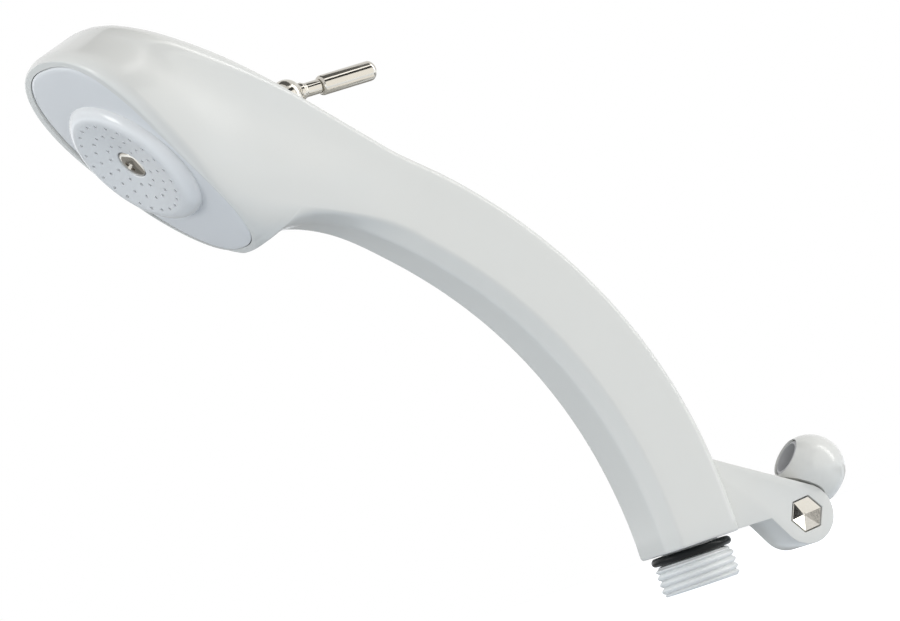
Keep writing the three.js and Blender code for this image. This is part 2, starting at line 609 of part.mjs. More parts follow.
function body() {
  const outside = solid(loft([...armRibs, ...headRibs].map((rib) => ribRing(rib))));
  const cavityEnd = rimTip - NOSE_LENGTH - WALL;
  const cavityRibs = [
    ...armRibs.filter((_, i) => i > 0 && i % 2 === 0),
    ...headRibs.filter((rib, i) => i % 2 === 1 && rib.y < cavityEnd),
  ];
  const cavity = solid(loft(cavityRibs.map((rib) => ribRing(rib, WALL))));
  const ledge = -LEDGE_DEPTH;
  const recess = solid(prism(ovalOutline(0), ledge, 3 * OVERRUN), faceFrame);
  const mouth = prism(ovalOutline(-LEDGE_WIDTH), ledge - LEDGE_WIDTH - OVERRUN, OVERRUN);
  const opening = solid(mouth, faceFrame);
  const barrelTop = SPIGOT_BARREL_TOP + CLEARANCE;
  const barrelBore = solid(disc(SPIGOT_BARREL_RADIUS + CLEARANCE, ARM_FOOT - OVERRUN, barrelTop));
  const tubeRoom = TUBE_BORE_RADIUS + TUBE_WALL + 3 * CLEARANCE;
  const tubeBore = solid(disc(tubeRoom, SPIGOT_BARREL_TOP, SPIGOT_STUB_TOP + 4 * OVERRUN));

  // bosses for the chamber's two screws, under the ledge at either end of the oval
  const bosses = [];
  const bossHoles = [];
  const bossFoot = ledge - FLANGE_SCREW_LENGTH - CHAMBER_WALL;
  const holeRadius = FLANGE_SCREW_RADIUS + CLEARANCE;
  for (const side of [-1, 1]) {
    const place = new THREE.Matrix4().makeTranslation(0, side * FLANGE_SCREW_PLACE, 0);
    place.premultiply(faceFrame);
    bosses.push(solid(disc(FLANGE_BOSS_RADIUS, bossFoot, ledge, SMALL_ROUND), place));
    bossHoles.push(solid(disc(holeRadius, bossFoot + OVERRUN, OVERRUN, SMALL_ROUND), place));
  }

  // flat seat, hole and inner pad for the valve's bonnet
  const pad = solid(disc(VALVE_RADIUS + VALVE_PAD, -VALVE_TOP + CLEARANCE, 0), valveFrame);
  const seat = solid(disc(BONNET_FLANGE_RADIUS + CLEARANCE, -BONNET_SEAT, BALL_RADIUS), valveFrame);
  const holeThrough = disc(BONNET_BARREL_RADIUS + CLEARANCE, -VALVE_TOP - OVERRUN, 0);
  const hole = solid(holeThrough, valveFrame);
  const { bracket, cuts } = lug();
  const shell = cut(join(outside, bracket), cavity, recess, opening);
  const inner = join(pad, ...bosses).intersect(outside);
  return cut(join(shell, inner), barrelBore, tubeBore, ...bossHoles, seat, hole, ...cuts);
}

// ---------------------------------------------------------------- face plate

// A disc of the shallow ball that the face follows, in the face frame.
function domeCap(radius, thickness) {
  const span = rimTip + 2 * CHAMBER_WALL;
  const steps = 5;
  const arc = (depth) => times(steps + 1, (i) => {
    const x = (span * i) / steps;
    return [x, Math.sqrt(radius * radius - x * x) - DOME_RADIUS - depth];
  });
  return turned([...arc(0), ...arc(thickness).reverse()], ROUND);
}

function facePlate() {
  const shell = solid(domeCap(DOME_RADIUS, PLATE_THICKNESS));
  const edge = solid(prism(ovalOutline(-CLEARANCE), -2 * LEDGE_DEPTH, LEDGE_DEPTH));
  const hole = solid(disc(ROSE_HOLE_RADIUS, -LEDGE_DEPTH, LEDGE_DEPTH), roseToFace);
  return cut(shell.intersect(edge), hole);
}

// ---------------------------------------------------------------- rose and its screw

const faceAt = (r) => ROSE_HEIGHT - ROSE_DISH * (1 - r / ROSE_FACE_RADIUS);
const screwRim = faceAt(0) - SCREW_SINK;
const screwSeat = screwRim - SCREW_HEAD_HEIGHT;

function rose() {
  const headHole = SCREW_HEAD_RADIUS + CLEARANCE;
  const hub = headHole + HUB_WALL;
  const under = (r) => faceAt(r) - ROSE_WALL;
  const skirt = ROSE_SPIGOT_RADIUS - CHAMBER_WALL;
  const steps = 5;
  const shoulder = times(steps + 1, (i) => {
    const a = (Math.PI / 2) * (1 - i / steps);
    return [
      ROSE_FACE_RADIUS + (ROSE_BASE_RADIUS - ROSE_FACE_RADIUS) * Math.sin(a),
      (ROSE_HEIGHT + ROSE_ROUNDING) * Math.cos(a) - ROSE_ROUNDING,
    ];
  });
  const screwHole = SCREW_RADIUS + CLEARANCE;
  const profile = [
    [screwHole, screwSeat - SCREW_FLOOR],
    [hub, screwSeat - SCREW_FLOOR],
    [hub, under(hub)],
    [skirt, under(skirt)],
    [skirt, -ROSE_SPIGOT_DEPTH],
    [ROSE_SPIGOT_RADIUS, -ROSE_SPIGOT_DEPTH],
    [ROSE_SPIGOT_RADIUS, -ROSE_RIM_DEPTH],
    [ROSE_HOLE_RADIUS, -ROSE_RIM_DEPTH],
    [ROSE_BASE_RADIUS + CHAMBER_WALL, -2 * PLATE_THICKNESS],
    ...shoulder,
    [headHole, faceAt(headHole)],
    [headHole, screwSeat],
    [screwHole, screwSeat],
    [screwHole, screwSeat - SCREW_FLOOR],
  ];
  const nozzles = NOZZLE_ROWS.flatMap(({ radius, count }) => times(count, (i) => {
    const [from, to] = [under(radius) - OVERRUN, faceAt(radius) + OVERRUN];
    const hole = disc(NOZZLE_DIAMETER / 2, from, to, TINY_ROUND);
    const a = turnOf(i, count);
    return solid(hole.translate(radius * Math.cos(a), radius * Math.sin(a), 0));
  }));
  // the flange is trimmed to the plate, except where it passes through the plate's hole
  const holeEdge = ROSE_HOLE_RADIUS - 3 * CLEARANCE;
  const keepOff = sleeve(holeEdge, 2 * ROSE_BASE_RADIUS, -3 * LEDGE_DEPTH, LEDGE_DEPTH);
  const dome = solid(domeCap(DOME_RADIUS + CLEARANCE, 2 * LEDGE_DEPTH), faceToRose);
  return cut(solid(turned(profile)), dome.intersect(solid(keepOff)), wasm.Manifold.union(nozzles));
}

// A driver's cross cut into a screw's head.
function crossRecess(top) {
  const [long, wide] = [CROSS_LENGTH / 2, CROSS_WIDTH / 2];
  const outline = [
    [long, -wide], [long, wide], [wide, wide], [wide, long], [-wide, long], [-wide, wide],
    [-long, wide], [-long, -wide], [-wide, -wide], [-wide, -long], [wide, -long], [wide, -wide],
  ];
  return solid(prism(outline, top - CROSS_DEPTH, top + OVERRUN).rotateZ(Math.PI / SMALL_ROUND));
}

function centralScrew() {
  const foot = screwSeat + 2 * CLEARANCE;
  const steps = 4;
  const dome = times(steps + 1, (i) => {
    const a = (Math.PI / 2) * (i / steps);
    return [SCREW_HEAD_RADIUS * Math.cos(a), screwRim + SCREW_DOME * Math.sin(a)];
  });
  const head = solid(turned([[0, foot], [SCREW_HEAD_RADIUS, foot], ...dome], ROUND));
  const shank = solid(disc(SCREW_RADIUS, foot - SCREW_LENGTH, foot + ROOTED, SMALL_ROUND));
  return cut(join(head, shank), crossRecess(screwRim + SCREW_DOME));
}

function screwWasher() {
  const from = screwSeat + CLEARANCE / 3;
  const outer = SCREW_HEAD_RADIUS - 2 * CLEARANCE;
  return solid(sleeve(SCREW_RADIUS + CLEARANCE, outer, from, from + WASHER_SQUEEZED, SMALL_ROUND));
}

// ---------------------------------------------------------------- spray chamber

const hubTop = screwSeat - SCREW_FLOOR - 2 * CLEARANCE;
const hubFloor = CHAMBER_FLOOR + HUB_WALL;
const flangeFoot = -LEDGE_DEPTH + CLEARANCE;
const flangeTop = flangeFoot + FLANGE_THICKNESS;

function sprayChamber() {
  const outer = CHAMBER_RADIUS + CHAMBER_WALL;
  const under = CHAMBER_FLOOR - CHAMBER_WALL;
  const gasketSeat = GASKET_FOOT - CLEARANCE;
  const spreaderSeat = SPREADER_FOOT - CLEARANCE;
  const lip = -ROSE_RIM_DEPTH - 2 * CLEARANCE;
  const cup = solid(turned([
    [0, under],
    [outer, under],
    [outer, lip],
    [CHAMBER_RADIUS, lip],
    [CHAMBER_RADIUS, gasketSeat],
    [SPREADER_RADIUS + CLEARANCE, gasketSeat],
    [SPREADER_RADIUS + CLEARANCE, spreaderSeat],
    [SPREADER_RADIUS - SPREADER_LEDGE, spreaderSeat],
    [SPREADER_RADIUS - SPREADER_LEDGE, CHAMBER_FLOOR],
    [HUB_RADIUS, CHAMBER_FLOOR],
    [HUB_RADIUS, hubTop],
    [INSERT_RADIUS + CLEARANCE, hubTop],
    [INSERT_RADIUS + CLEARANCE, hubFloor],
    [0, hubFloor],
  ]), roseToFace);
  const middle = outer - CHAMBER_WALL / 2;
  const flange = cut(
    solid(prism(ovalOutline(-2 * CLEARANCE), flangeFoot, flangeTop)),
    solid(disc(middle, -3 * LEDGE_DEPTH, LEDGE_DEPTH), roseToFace),
  );
  const holeRadius = FLANGE_SCREW_RADIUS + CLEARANCE;
  const holes = [-1, 1].map((side) => {
    const hole = disc(holeRadius, -2 * LEDGE_DEPTH, 0, SMALL_ROUND);
    return solid(hole.translate(0, side * FLANGE_SCREW_PLACE, 0));
  });

  // ring that carries the face plate, trimmed to the plate's underside
  const collar = cut(
    solid(sleeve(middle, outer + PLATE_COLLAR, flangeTop - OVERRUN, OVERRUN), roseToFace),
    solid(domeCap(DOME_RADIUS + LEDGE_DEPTH, LEDGE_DEPTH + PLATE_THICKNESS + CLEARANCE)),
  );
  const stubFoot = under - STUB_LENGTH;
  const stub = disc(STUB_RADIUS, stubFoot, under + ROOTED, SMALL_ROUND);
  const inlet = disc(FEED_RADIUS, stubFoot - OVERRUN, CHAMBER_FLOOR + OVERRUN, SMALL_ROUND);
  const [feedStub, feedInlet] = [stub, inlet]
    .map((shape) => solid(shape.translate(0, FEED_PLACE, 0), roseToFace));
  return cut(join(cup, flange, collar, feedStub), feedInlet, ...holes);
}

function flowSpreader() {
  const top = SPREADER_FOOT + SPREADER_THICKNESS;
  const plate = solid(sleeve(HUB_RADIUS + CLEARANCE, SPREADER_RADIUS, SPREADER_FOOT, top));
  const middle = (HUB_RADIUS + SPREADER_RADIUS) / 2;
  const holes = times(SPREADER_HOLES.count, (i) => {
    const a = turnOf(i, SPREADER_HOLES.count);
    const hole = disc(SPREADER_HOLES.radius, SPREADER_FOOT - OVERRUN, top + OVERRUN, SMALL_ROUND / 2);
    return solid(hole.translate(middle * Math.cos(a), middle * Math.sin(a), 0));
  });
  return cut(plate, ...holes);
}

function roseGasket() {
  const inner = ROSE_SPIGOT_RADIUS - CHAMBER_WALL;
  return solid(sleeve(inner, ROSE_SPIGOT_RADIUS, GASKET_FOOT, GASKET_FOOT + GASKET_THICKNESS));
}

function screwInsert() {
  const [from, to] = [hubFloor + CLEARANCE, hubTop - CLEARANCE];
  return solid(sleeve(SCREW_RADIUS + CLEARANCE, INSERT_RADIUS, from, to, SMALL_ROUND));
}

function chamberScrew(side) {
  const { radius, height } = FLANGE_SCREW_HEAD;
  const seat = flangeTop + CLEARANCE / 2;
  const head = disc(radius, seat, seat + height, SMALL_ROUND);
  const tip = seat - FLANGE_SCREW_LENGTH;
  const shank = disc(FLANGE_SCREW_RADIUS, tip, seat + height / 2, SMALL_ROUND);
  const place = new THREE.Matrix4().makeTranslation(0, side * FLANGE_SCREW_PLACE, 0);
  return join(solid(head, place), solid(shank, place));
}

// ---------------------------------------------------------------- lever

function leverSpindle() {
  const { depth: ringCut, halfHeight } = RING_GROOVE;
  const grooves = SPINDLE_RING_DEPTHS.map((depth) => [depth, ringCut, halfHeight]);
  const clipHalf = CLIP_GROOVE.height / 2;
  grooves.push([SPINDLE_FOOT - CLIP_GROOVE.foot - clipHalf, CLIP_GROOVE.depth, clipHalf]);
  grooves.sort((a, b) => b[0] - a[0]);
  const profile = [[0, -SPINDLE_FOOT], [SPINDLE_RADIUS, -SPINDLE_FOOT]];
  for (const [depth, cutIn, half] of grooves) {
    profile.push([SPINDLE_RADIUS, -depth - half], [SPINDLE_RADIUS - cutIn, -depth - half]);
    profile.push([SPINDLE_RADIUS - cutIn, -depth + half], [SPINDLE_RADIUS, -depth + half]);
  }
  const start = Math.asin(SPINDLE_RADIUS / BALL_RADIUS);
  const steps = 9;
  for (let i = 0; i < steps; i += 1) {
    const a = lerp(start, Math.PI, i / steps);
    profile.push([BALL_RADIUS * Math.sin(a), -BALL_RADIUS * Math.cos(a)]);
  }
  profile.push([0, BALL_RADIUS]);
  const foot = -SPINDLE_FOOT - DRIVE_LENGTH;
  const drive = solid(prism(square(DRIVE_SQUARE / 2), foot, -SPINDLE_FOOT + CLIP_GROOVE.foot / 2));
  const lean = new THREE.Matrix4().makeRotationX(rad(-LEVER_LEAN));
  const bore = disc(ROD_TAIL_RADIUS + CLEARANCE, 0, BALL_RADIUS + OVERRUN, SOCKET_ROUND);
  const socket = solid(bore, lean);
  return cut(join(solid(turned(profile, BALL_ROUND)), drive), socket);
}

function leverRod() {
  const shoulder = BALL_RADIUS + CLEARANCE;
  const end = GRIP_START - CLEARANCE;
  return solid(turned([
    [0, ROD_TAIL_DEPTH],
    [ROD_TAIL_RADIUS, ROD_TAIL_DEPTH],
    [ROD_TAIL_RADIUS, shoulder],
    [ROD_COLLAR.radius, shoulder],
    [ROD_COLLAR.radius, shoulder + ROD_COLLAR.height],
    [ROD_RADIUS, shoulder + 1.5 * ROD_COLLAR.height],
    [ROD_RADIUS, end],
    [ROD_TIP.radius, end],
    [ROD_TIP.radius, GRIP_START + ROD_TIP.length],
    [0, GRIP_START + ROD_TIP.length],
  ], SMALL_ROUND));
}

function leverGrip() {
  const bore = ROD_TIP.radius + CLEARANCE;
  const boreEnd = GRIP_START + ROD_TIP.length + CLEARANCE;
  const roundHeight = 0.75 * GRIP_RADIUS;
  const steps = 5;
  const cap = times(steps, (i) => {
    const a = (Math.PI / 2) * (i / steps);
    return [GRIP_RADIUS * Math.cos(a), GRIP_END - roundHeight * (1 - Math.sin(a))];
  });
  return solid(turned([
    [bore, GRIP_START],
    [GRIP_RADIUS - GRIP_ROUNDING / 2, GRIP_START],
    [GRIP_RADIUS, GRIP_START + GRIP_ROUNDING],
    ...cap,
    [0, GRIP_END],
    [0, boreEnd],
    [bore, boreEnd],
    [bore, GRIP_START],
  ], SMALL_ROUND + 4));
}

// ---------------------------------------------------------------- valve

function bonnet() {
  const bore = SPINDLE_RADIUS + CLEARANCE;
  const foot = -BONNET_SEAT + CLEARANCE;
  const top = foot + BONNET_FLANGE_HEIGHT;
  const ballRoom = BALL_RADIUS + CLEARANCE;
  const beside = (radius) => -Math.sqrt(ballRoom * ballRoom - radius * radius);
  const lip = Math.sqrt(ballRoom * ballRoom - top * top);
  const steps = 3;
  const dish = times(steps + 1, (i) => {
    const radius = lerp(lip, bore, i / steps);
    return [radius, beside(radius)];
  });
  return solid(turned([
    [bore, -BONNET_LENGTH],
    [BONNET_BARREL_RADIUS, -BONNET_LENGTH],
    [BONNET_BARREL_RADIUS, foot],
    [BONNET_FLANGE_RADIUS, foot],
    [BONNET_FLANGE_RADIUS, top - BONNET_CHAMFER],
    [BONNET_FLANGE_RADIUS - BONNET_CHAMFER, top],
    ...dish,
    [bore, -BONNET_LENGTH],
  ]));
}

// The valve's cross passage, whose local Z axis runs down the neck.
function portFrame(side = 1) {
  return new THREE.Matrix4().makeRotationX((side * -Math.PI) / 2).setPosition(0, 0, -PORT_DEPTH);
}

function valveBody() {
  const chamber = ROTOR_RADIUS + CLEARANCE;
  const floor = -ROTOR_FOOT - CLEARANCE;
  const bonnetRoom = BONNET_BARREL_RADIUS + CLEARANCE;
  const bonnetEnd = -BONNET_LENGTH - CLEARANCE;
  const shell = solid(turned([
    [0, -VALVE_FLOOR],
    [VALVE_RADIUS, -VALVE_FLOOR],
    [VALVE_RADIUS, -VALVE_TOP],
    [bonnetRoom, -VALVE_TOP],
    [bonnetRoom, bonnetEnd],
    [chamber, bonnetEnd],
    [chamber, floor],
    [0, floor],
  ]));
  const port = portFrame();
  const stub = solid(disc(STUB_RADIUS, -OUTLET_STUB_END, VALVE_STUB_END, SMALL_ROUND), port);
  const swept = solid(disc(chamber, floor, -BONNET_LENGTH));
  const [portStart, portEnd] = [-OUTLET_STUB_END - OVERRUN, VALVE_STUB_END + OVERRUN];
  const passage = disc(STUB_BORE_RADIUS, portStart, portEnd, SMALL_ROUND);
  const ringEnd = ROTOR_RADIUS + 2 * CLEARANCE + SEAT_RING_THICKNESS;
  const pockets = disc(SEAT_RING_RADIUS + CLEARANCE, -ringEnd, ringEnd, SMALL_ROUND);
  return cut(join(shell, cut(stub, swept)), solid(passage, port), solid(pockets, port));
}

function valveRotor() {
  const plug = solid(disc(ROTOR_RADIUS, -ROTOR_FOOT, -ROTOR_TOP));
  const socketFoot = -SPINDLE_FOOT - DRIVE_LENGTH - CLEARANCE;
  const socket = prism(square(DRIVE_SQUARE / 2 + CLEARANCE), socketFoot, -ROTOR_TOP + OVERRUN);
  const bore = disc(PORT_RADIUS, -2 * ROTOR_RADIUS, 2 * ROTOR_RADIUS, SMALL_ROUND);
  return cut(plug, solid(socket), solid(bore, portFrame()));
}

function seatRing(side) {
  const from = ROTOR_RADIUS + CLEARANCE;
  const to = from + SEAT_RING_THICKNESS;
  const washer = sleeve(STUB_BORE_RADIUS, SEAT_RING_RADIUS, from - OVERRUN, to, SMALL_ROUND);
  const rotorRoom = solid(disc(from, -VALVE_FLOOR, 0));
  return cut(solid(washer, portFrame(side)), rotorRoom);
}

function spindleRing(depth) {
  const radius = SPINDLE_RADIUS - RING_GROOVE.depth + RING_SECTION + CLEARANCE;
  return solid(ring(radius, RING_SECTION, -depth, SMALL_ROUND));
}

function spindleClip() {
  const from = -SPINDLE_FOOT + CLIP_GROOVE.foot + (CLIP_GROOVE.height - CLIP_THICKNESS) / 2;
  const inner = SPINDLE_RADIUS - CLIP_GROOVE.depth + CLEARANCE;
  const outer = BONNET_BARREL_RADIUS - OVERRUN;
  return solid(sleeve(inner, outer, from, from + CLIP_THICKNESS, SMALL_ROUND));
}

// ---------------------------------------------------------------- waterway

// From the valve's stub down the middle of the arm to the spigot's tail.
function waterTube() {
  const start = along(valveFrame, VALVE_RADIUS + CLEARANCE, -PORT_DEPTH);
  const lead = along(valveFrame, VALVE_STUB_END + TUBE_LEAD, -PORT_DEPTH);
  const tail = new THREE.Vector3(0, 0, SPIGOT_STUB_TOP + TUBE_LEAD);
  const path = new THREE.CurvePath();
  path.add(new THREE.LineCurve3(start, lead));
  const onArm = TUBE_ON_ARM.map((t) => armCurve.getPoint(t));
  path.add(new THREE.CatmullRomCurve3([lead, ...onArm, tail], false, 'centripetal'));
  path.add(new THREE.LineCurve3(tail, new THREE.Vector3(0, 0, SPIGOT_BARREL_TOP + CLEARANCE)));
  return solid(tubeAlong(path, TUBE_BORE_RADIUS, TUBE_BORE_RADIUS + TUBE_WALL, 24, 12));
}

// From the valve's outlet up to the chamber's inlet.
function feedHose() {
  const under = CHAMBER_FLOOR - CHAMBER_WALL;
  const inlet = along(roseFrame, FEED_PLACE, under - CLEARANCE);
  const inletLead = along(roseFrame, FEED_PLACE, under - STUB_LENGTH);
  const outlet = along(valveFrame, -VALVE_RADIUS - CLEARANCE, -PORT_DEPTH);
  const outletLead = along(valveFrame, -OUTLET_STUB_END, -PORT_DEPTH);
  const onwards = (from, to, pull) => to.clone().add(to.clone().sub(from).setLength(pull));
  const path = new THREE.CurvePath();
  path.add(new THREE.LineCurve3(inlet, inletLead));
  path.add(new THREE.CubicBezierCurve3(
    inletLead,
    onwards(inlet, inletLead, FEED_HOSE_PULL.chamber),
    onwards(outlet, outletLead, FEED_HOSE_PULL.valve),
    outletLead,
  ));
  path.add(new THREE.LineCurve3(outletLead, outlet));
  const outer = FEED_HOSE_BORE_RADIUS + FEED_HOSE_WALL;
  return solid(tubeAlong(path, FEED_HOSE_BORE_RADIUS, outer, 16, 12));
}

function hoseSpigot() {
  const neckTop = ARM_FOOT - CLEARANCE;
  const grooveRadius = SPIGOT_BARREL_RADIUS - SPIGOT_GROOVE.depth;
  const grooveFoot = SPIGOT_SEAL_HEIGHT - SPIGOT_GROOVE.halfHeight;
  const grooveTop = SPIGOT_SEAL_HEIGHT + SPIGOT_GROOVE.halfHeight;
  return solid(turned([
    [STUB_BORE_RADIUS, FILTER_SEAT_DEPTH],
    [FILTER_SEAT_RADIUS, FILTER_SEAT_DEPTH],
    [FILTER_SEAT_RADIUS, 0],
    [THREAD_RADIUS - THREAD_CHAMFER, 0],
    [THREAD_RADIUS, THREAD_CHAMFER],
    [THREAD_RADIUS, THREAD_LENGTH],
    [SPIGOT_NECK_RADIUS, THREAD_LENGTH],
    [SPIGOT_NECK_RADIUS, neckTop],
    [SPIGOT_BARREL_RADIUS, neckTop],
    [SPIGOT_BARREL_RADIUS, grooveFoot],
    [grooveRadius, grooveFoot],
    [grooveRadius, grooveTop],
    [SPIGOT_BARREL_RADIUS, grooveTop],
    [SPIGOT_BARREL_RADIUS, SPIGOT_BARREL_TOP],
    [STUB_RADIUS, SPIGOT_BARREL_TOP],
    [STUB_RADIUS, SPIGOT_STUB_TOP],
    [STUB_BORE_RADIUS, SPIGOT_STUB_TOP],
    [STUB_BORE_RADIUS, FILTER_SEAT_DEPTH],
  ]));
}

function inletFilter() {
  const top = FILTER_SEAT_DEPTH - CLEARANCE;
  const foot = top - FILTER_THICKNESS;
  const plate = disc(FILTER_SEAT_RADIUS - CLEARANCE, foot, top);
  const holes = FILTER_ROWS.flatMap(({ radius, count }) => times(count, (i) => {
    const a = turnOf(i, count);
    const hole = disc(FILTER_HOLE_RADIUS, foot - OVERRUN, top + OVERRUN, TINY_ROUND);
    return solid(hole.translate(radius * Math.cos(a), radius * Math.sin(a), 0));
  }));
  return cut(solid(plate), ...holes);
}

function collarRing() {
  const radius = SPIGOT_NECK_RADIUS + CLEARANCE + COLLAR_RING_SECTION;
  return solid(ring(radius, COLLAR_RING_SECTION, (THREAD_LENGTH + ARM_FOOT) / 2));
}

function spigotSeal() {
  const radius = SPIGOT_BARREL_RADIUS - SPIGOT_SEAL_SECTION;
  return solid(ring(radius, SPIGOT_SEAL_SECTION, SPIGOT_SEAL_HEIGHT));
}

// ---------------------------------------------------------------- ball eye and its sleeve

const eyeTurn = rad(EYE_ANGLE);
const eyeCentre = { y: EYE_REACH * Math.cos(eyeTurn), z: EYE_REACH * Math.sin(eyeTurn) };
const boreFrame = frameAt(eyeCentre, EYE_BORE_ANGLE - 90);

function ballEye() {
  const ball = solid(new THREE.SphereGeometry(EYE_RADIUS, ROUND, 18), frameAt(eyeCentre, 0));
  const half = TONGUE_WIDTH / 2;
  const side = EYE_RADIUS + OVERRUN;

  // the ball is hollowed to clear the bracket wherever the eye tilts
  const relief = lugOutline(CLEARANCE).map(([y, z]) => [y - PIVOT.y, z - PIVOT.z]);
  const swept = [0, EYE_LIFT / 2, EYE_LIFT]
    .map((lift) => acrossX(relief, -side, side, new THREE.Matrix4().makeRotationX(rad(-lift))));
  const tongue = acrossX(circle(TONGUE_RADIUS, ROUND), -half, half);
  const w = STEM_WIDTH / 2;
  const stemShape = [[0, -w], [EYE_REACH, -w], [EYE_REACH, w], [0, w]];
  const stem = acrossX(stemShape, -half, half, new THREE.Matrix4().makeRotationX(eyeTurn));
  const bore = solid(disc(EYE_BORE_RADIUS, -2 * EYE_RADIUS, 2 * EYE_RADIUS), boreFrame);
  const boltHole = circle(BOLT_RADIUS + CLEARANCE, SMALL_ROUND);
  const bolt = acrossX(boltHole, -half - OVERRUN, half + OVERRUN);
  return cut(join(cut(ball, ...swept), tongue, stem), bore, bolt);
}

function railSleeve() {
  const outer = EYE_BORE_RADIUS - CLEARANCE;
  const inner = outer - SLEEVE_WALL;
  const mouth = (radius) => Math.sqrt((EYE_RADIUS - SLEEVE_INSET) ** 2 - radius ** 2);
  return solid(turned([
    [inner, -mouth(inner)],
    [outer, -mouth(outer)],
    [outer, mouth(outer)],
    [inner, mouth(inner)],
    [inner, -mouth(inner)],
  ]), boreFrame);
}

// ---------------------------------------------------------------- pivot

function pivotBolt() {
  const outer = LUG_WIDTH / 2;
  const seat = outer - POCKET_DEPTH + CLEARANCE;
  const top = seat + BOLT_HEAD_HEIGHT;
  const hex = hexagon(BOLT_HEAD_FLATS, BOLT_HEX_TURN);
  const head = acrossX(hex, seat, top);
  const shank = acrossX(circle(BOLT_RADIUS, SMALL_ROUND), -outer + CLEARANCE, seat + ROOTED);
  const corner = BOLT_HEAD_FLATS / Math.sqrt(3) - ROOTED;
  const dishShape = new THREE.ConeGeometry(corner, BOLT_HEAD_DISH, 6);
  const dish = dishShape.rotateZ(Math.PI / 2).rotateX(rad(BOLT_HEX_TURN));
  return cut(join(head, shank), solid(dish.translate(top - BOLT_HEAD_DISH / 2 + 0.01, 0, 0)));
}

function pivotNut() {
  const outer = -LUG_WIDTH / 2;
  const inner = outer + POCKET_DEPTH - CLEARANCE;
  const nut = acrossX(hexagon(BOLT_HEAD_FLATS, BOLT_HEX_TURN), outer + NUT_RECESS, inner);
  const bore = circle(BOLT_RADIUS + CLEARANCE, SMALL_ROUND);
  return cut(nut, acrossX(bore, outer - OVERRUN, inner + OVERRUN));
}

function frictionWasher(side) {
  const from = TONGUE_WIDTH / 2 + CLEARANCE;
  const to = from + WASHER_THICKNESS;
  const [low, high] = side > 0 ? [from, to] : [-to, -from];
  const bore = circle(BOLT_RADIUS + CLEARANCE, SMALL_ROUND);
  const washer = acrossX(circle(WASHER_RADIUS, ROUND), low, high);
  return cut(washer, acrossX(bore, low - OVERRUN, high + OVERRUN));
}

// ---------------------------------------------------------------- materials

function finish(color, roughness, metalness) {
  return () => new THREE.MeshStandardMaterial({ color, roughness, metalness });
}
const whiteGloss = finish(0xe9ebea, 0.22, 0);
const whiteSatin = finish(0xe4e7e8, 0.35, 0);
const greyPlastic = finish(0xc8ccd0, 0.45, 0);
const chrome = finish(0xb9b5ac, 0.12, 1);
const brass = finish(0xb3924f, 0.3, 1);
const steel = finish(0xa9aaa8, 0.28, 1);
const blackRubber = finish(0x141414, 0.6, 0);
const greyRubber = finish(0x8b8c8e, 0.75, 0);
const hoseRubber = finish(0x5c6064, 0.6, 0);

// ---------------------------------------------------------------- assembly

const shower = new THREE.Group();

function groupAt(frame, parent = shower) {
  const group = new THREE.Group();
  group.applyMatrix4(frame);
  parent.add(group);
  return group;
}

function add(parent, name, piece, makeMaterial) {
  const mesh = new THREE.Mesh(geometryOf(piece), makeMaterial());
  mesh.name = name;
  parent.add(mesh);
}

add(shower, 'body', body(), whiteGloss);

const face = groupAt(faceFrame);
add(face, 'face_plate', facePlate(), whiteGloss);
add(face, 'spray_chamber', sprayChamber(), whiteSatin);
add(face, 'chamber_screw_upper', chamberScrew(1), steel);
add(face, 'chamber_screw_lower', chamberScrew(-1), steel);

const roseGroup = groupAt(roseFrame);
add(roseGroup, 'rose', rose(), whiteGloss);
add(roseGroup, 'rose_gasket', roseGasket(), blackRubber);
add(roseGroup, 'flow_spreader', flowSpreader(), whiteSatin);
add(roseGroup, 'screw_insert', screwInsert(), brass);
add(roseGroup, 'central_screw', centralScrew(), chrome);
add(roseGroup, 'screw_washer', screwWasher(), blackRubber);

const valve = groupAt(valveFrame);
add(valve, 'valve_body', valveBody(), brass);
add(valve, 'bonnet', bonnet(), chrome);
add(valve, 'seat_ring_inlet', seatRing(1), greyRubber);
add(valve, 'seat_ring_outlet', seatRing(-1), greyRubber);
add(valve, 'lever_spindle', leverSpindle(), chrome);
add(valve, 'spindle_ring_upper', spindleRing(SPINDLE_RING_DEPTHS[0]), blackRubber);
add(valve, 'spindle_ring_lower', spindleRing(SPINDLE_RING_DEPTHS[1]), blackRubber);
add(valve, 'spindle_clip', spindleClip(), steel);
add(valve, 'valve_rotor', valveRotor(), greyPlastic);

const lever = groupAt(new THREE.Matrix4().makeRotationX(rad(-LEVER_LEAN)), valve);
add(lever, 'lever_rod', leverRod(), chrome);
add(lever, 'lever_grip', leverGrip(), chrome);

add(shower, 'water_tube', waterTube(), whiteSatin);
add(shower, 'feed_hose', feedHose(), hoseRubber);
add(shower, 'hose_spigot', hoseSpigot(), whiteSatin);
add(shower, 'inlet_filter', inletFilter(), greyPlastic);
add(shower, 'collar_ring', collarRing(), blackRubber);
add(shower, 'spigot_seal', spigotSeal(), blackRubber);

const pivot = groupAt(pivotFrame);
add(pivot, 'ball_eye', ballEye(), whiteGloss);
add(pivot, 'rail_sleeve', railSleeve(), greyPlastic);
add(pivot, 'pivot_bolt', pivotBolt(), steel);
add(pivot, 'pivot_nut', pivotNut(), steel);
add(pivot, 'friction_washer_near', frictionWasher(1), greyRubber);
add(pivot, 'friction_washer_far', frictionWasher(-1), greyRubber);

export default shower;
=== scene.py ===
import json
import math

import bmesh
import bpy
from mathutils import Matrix, Vector


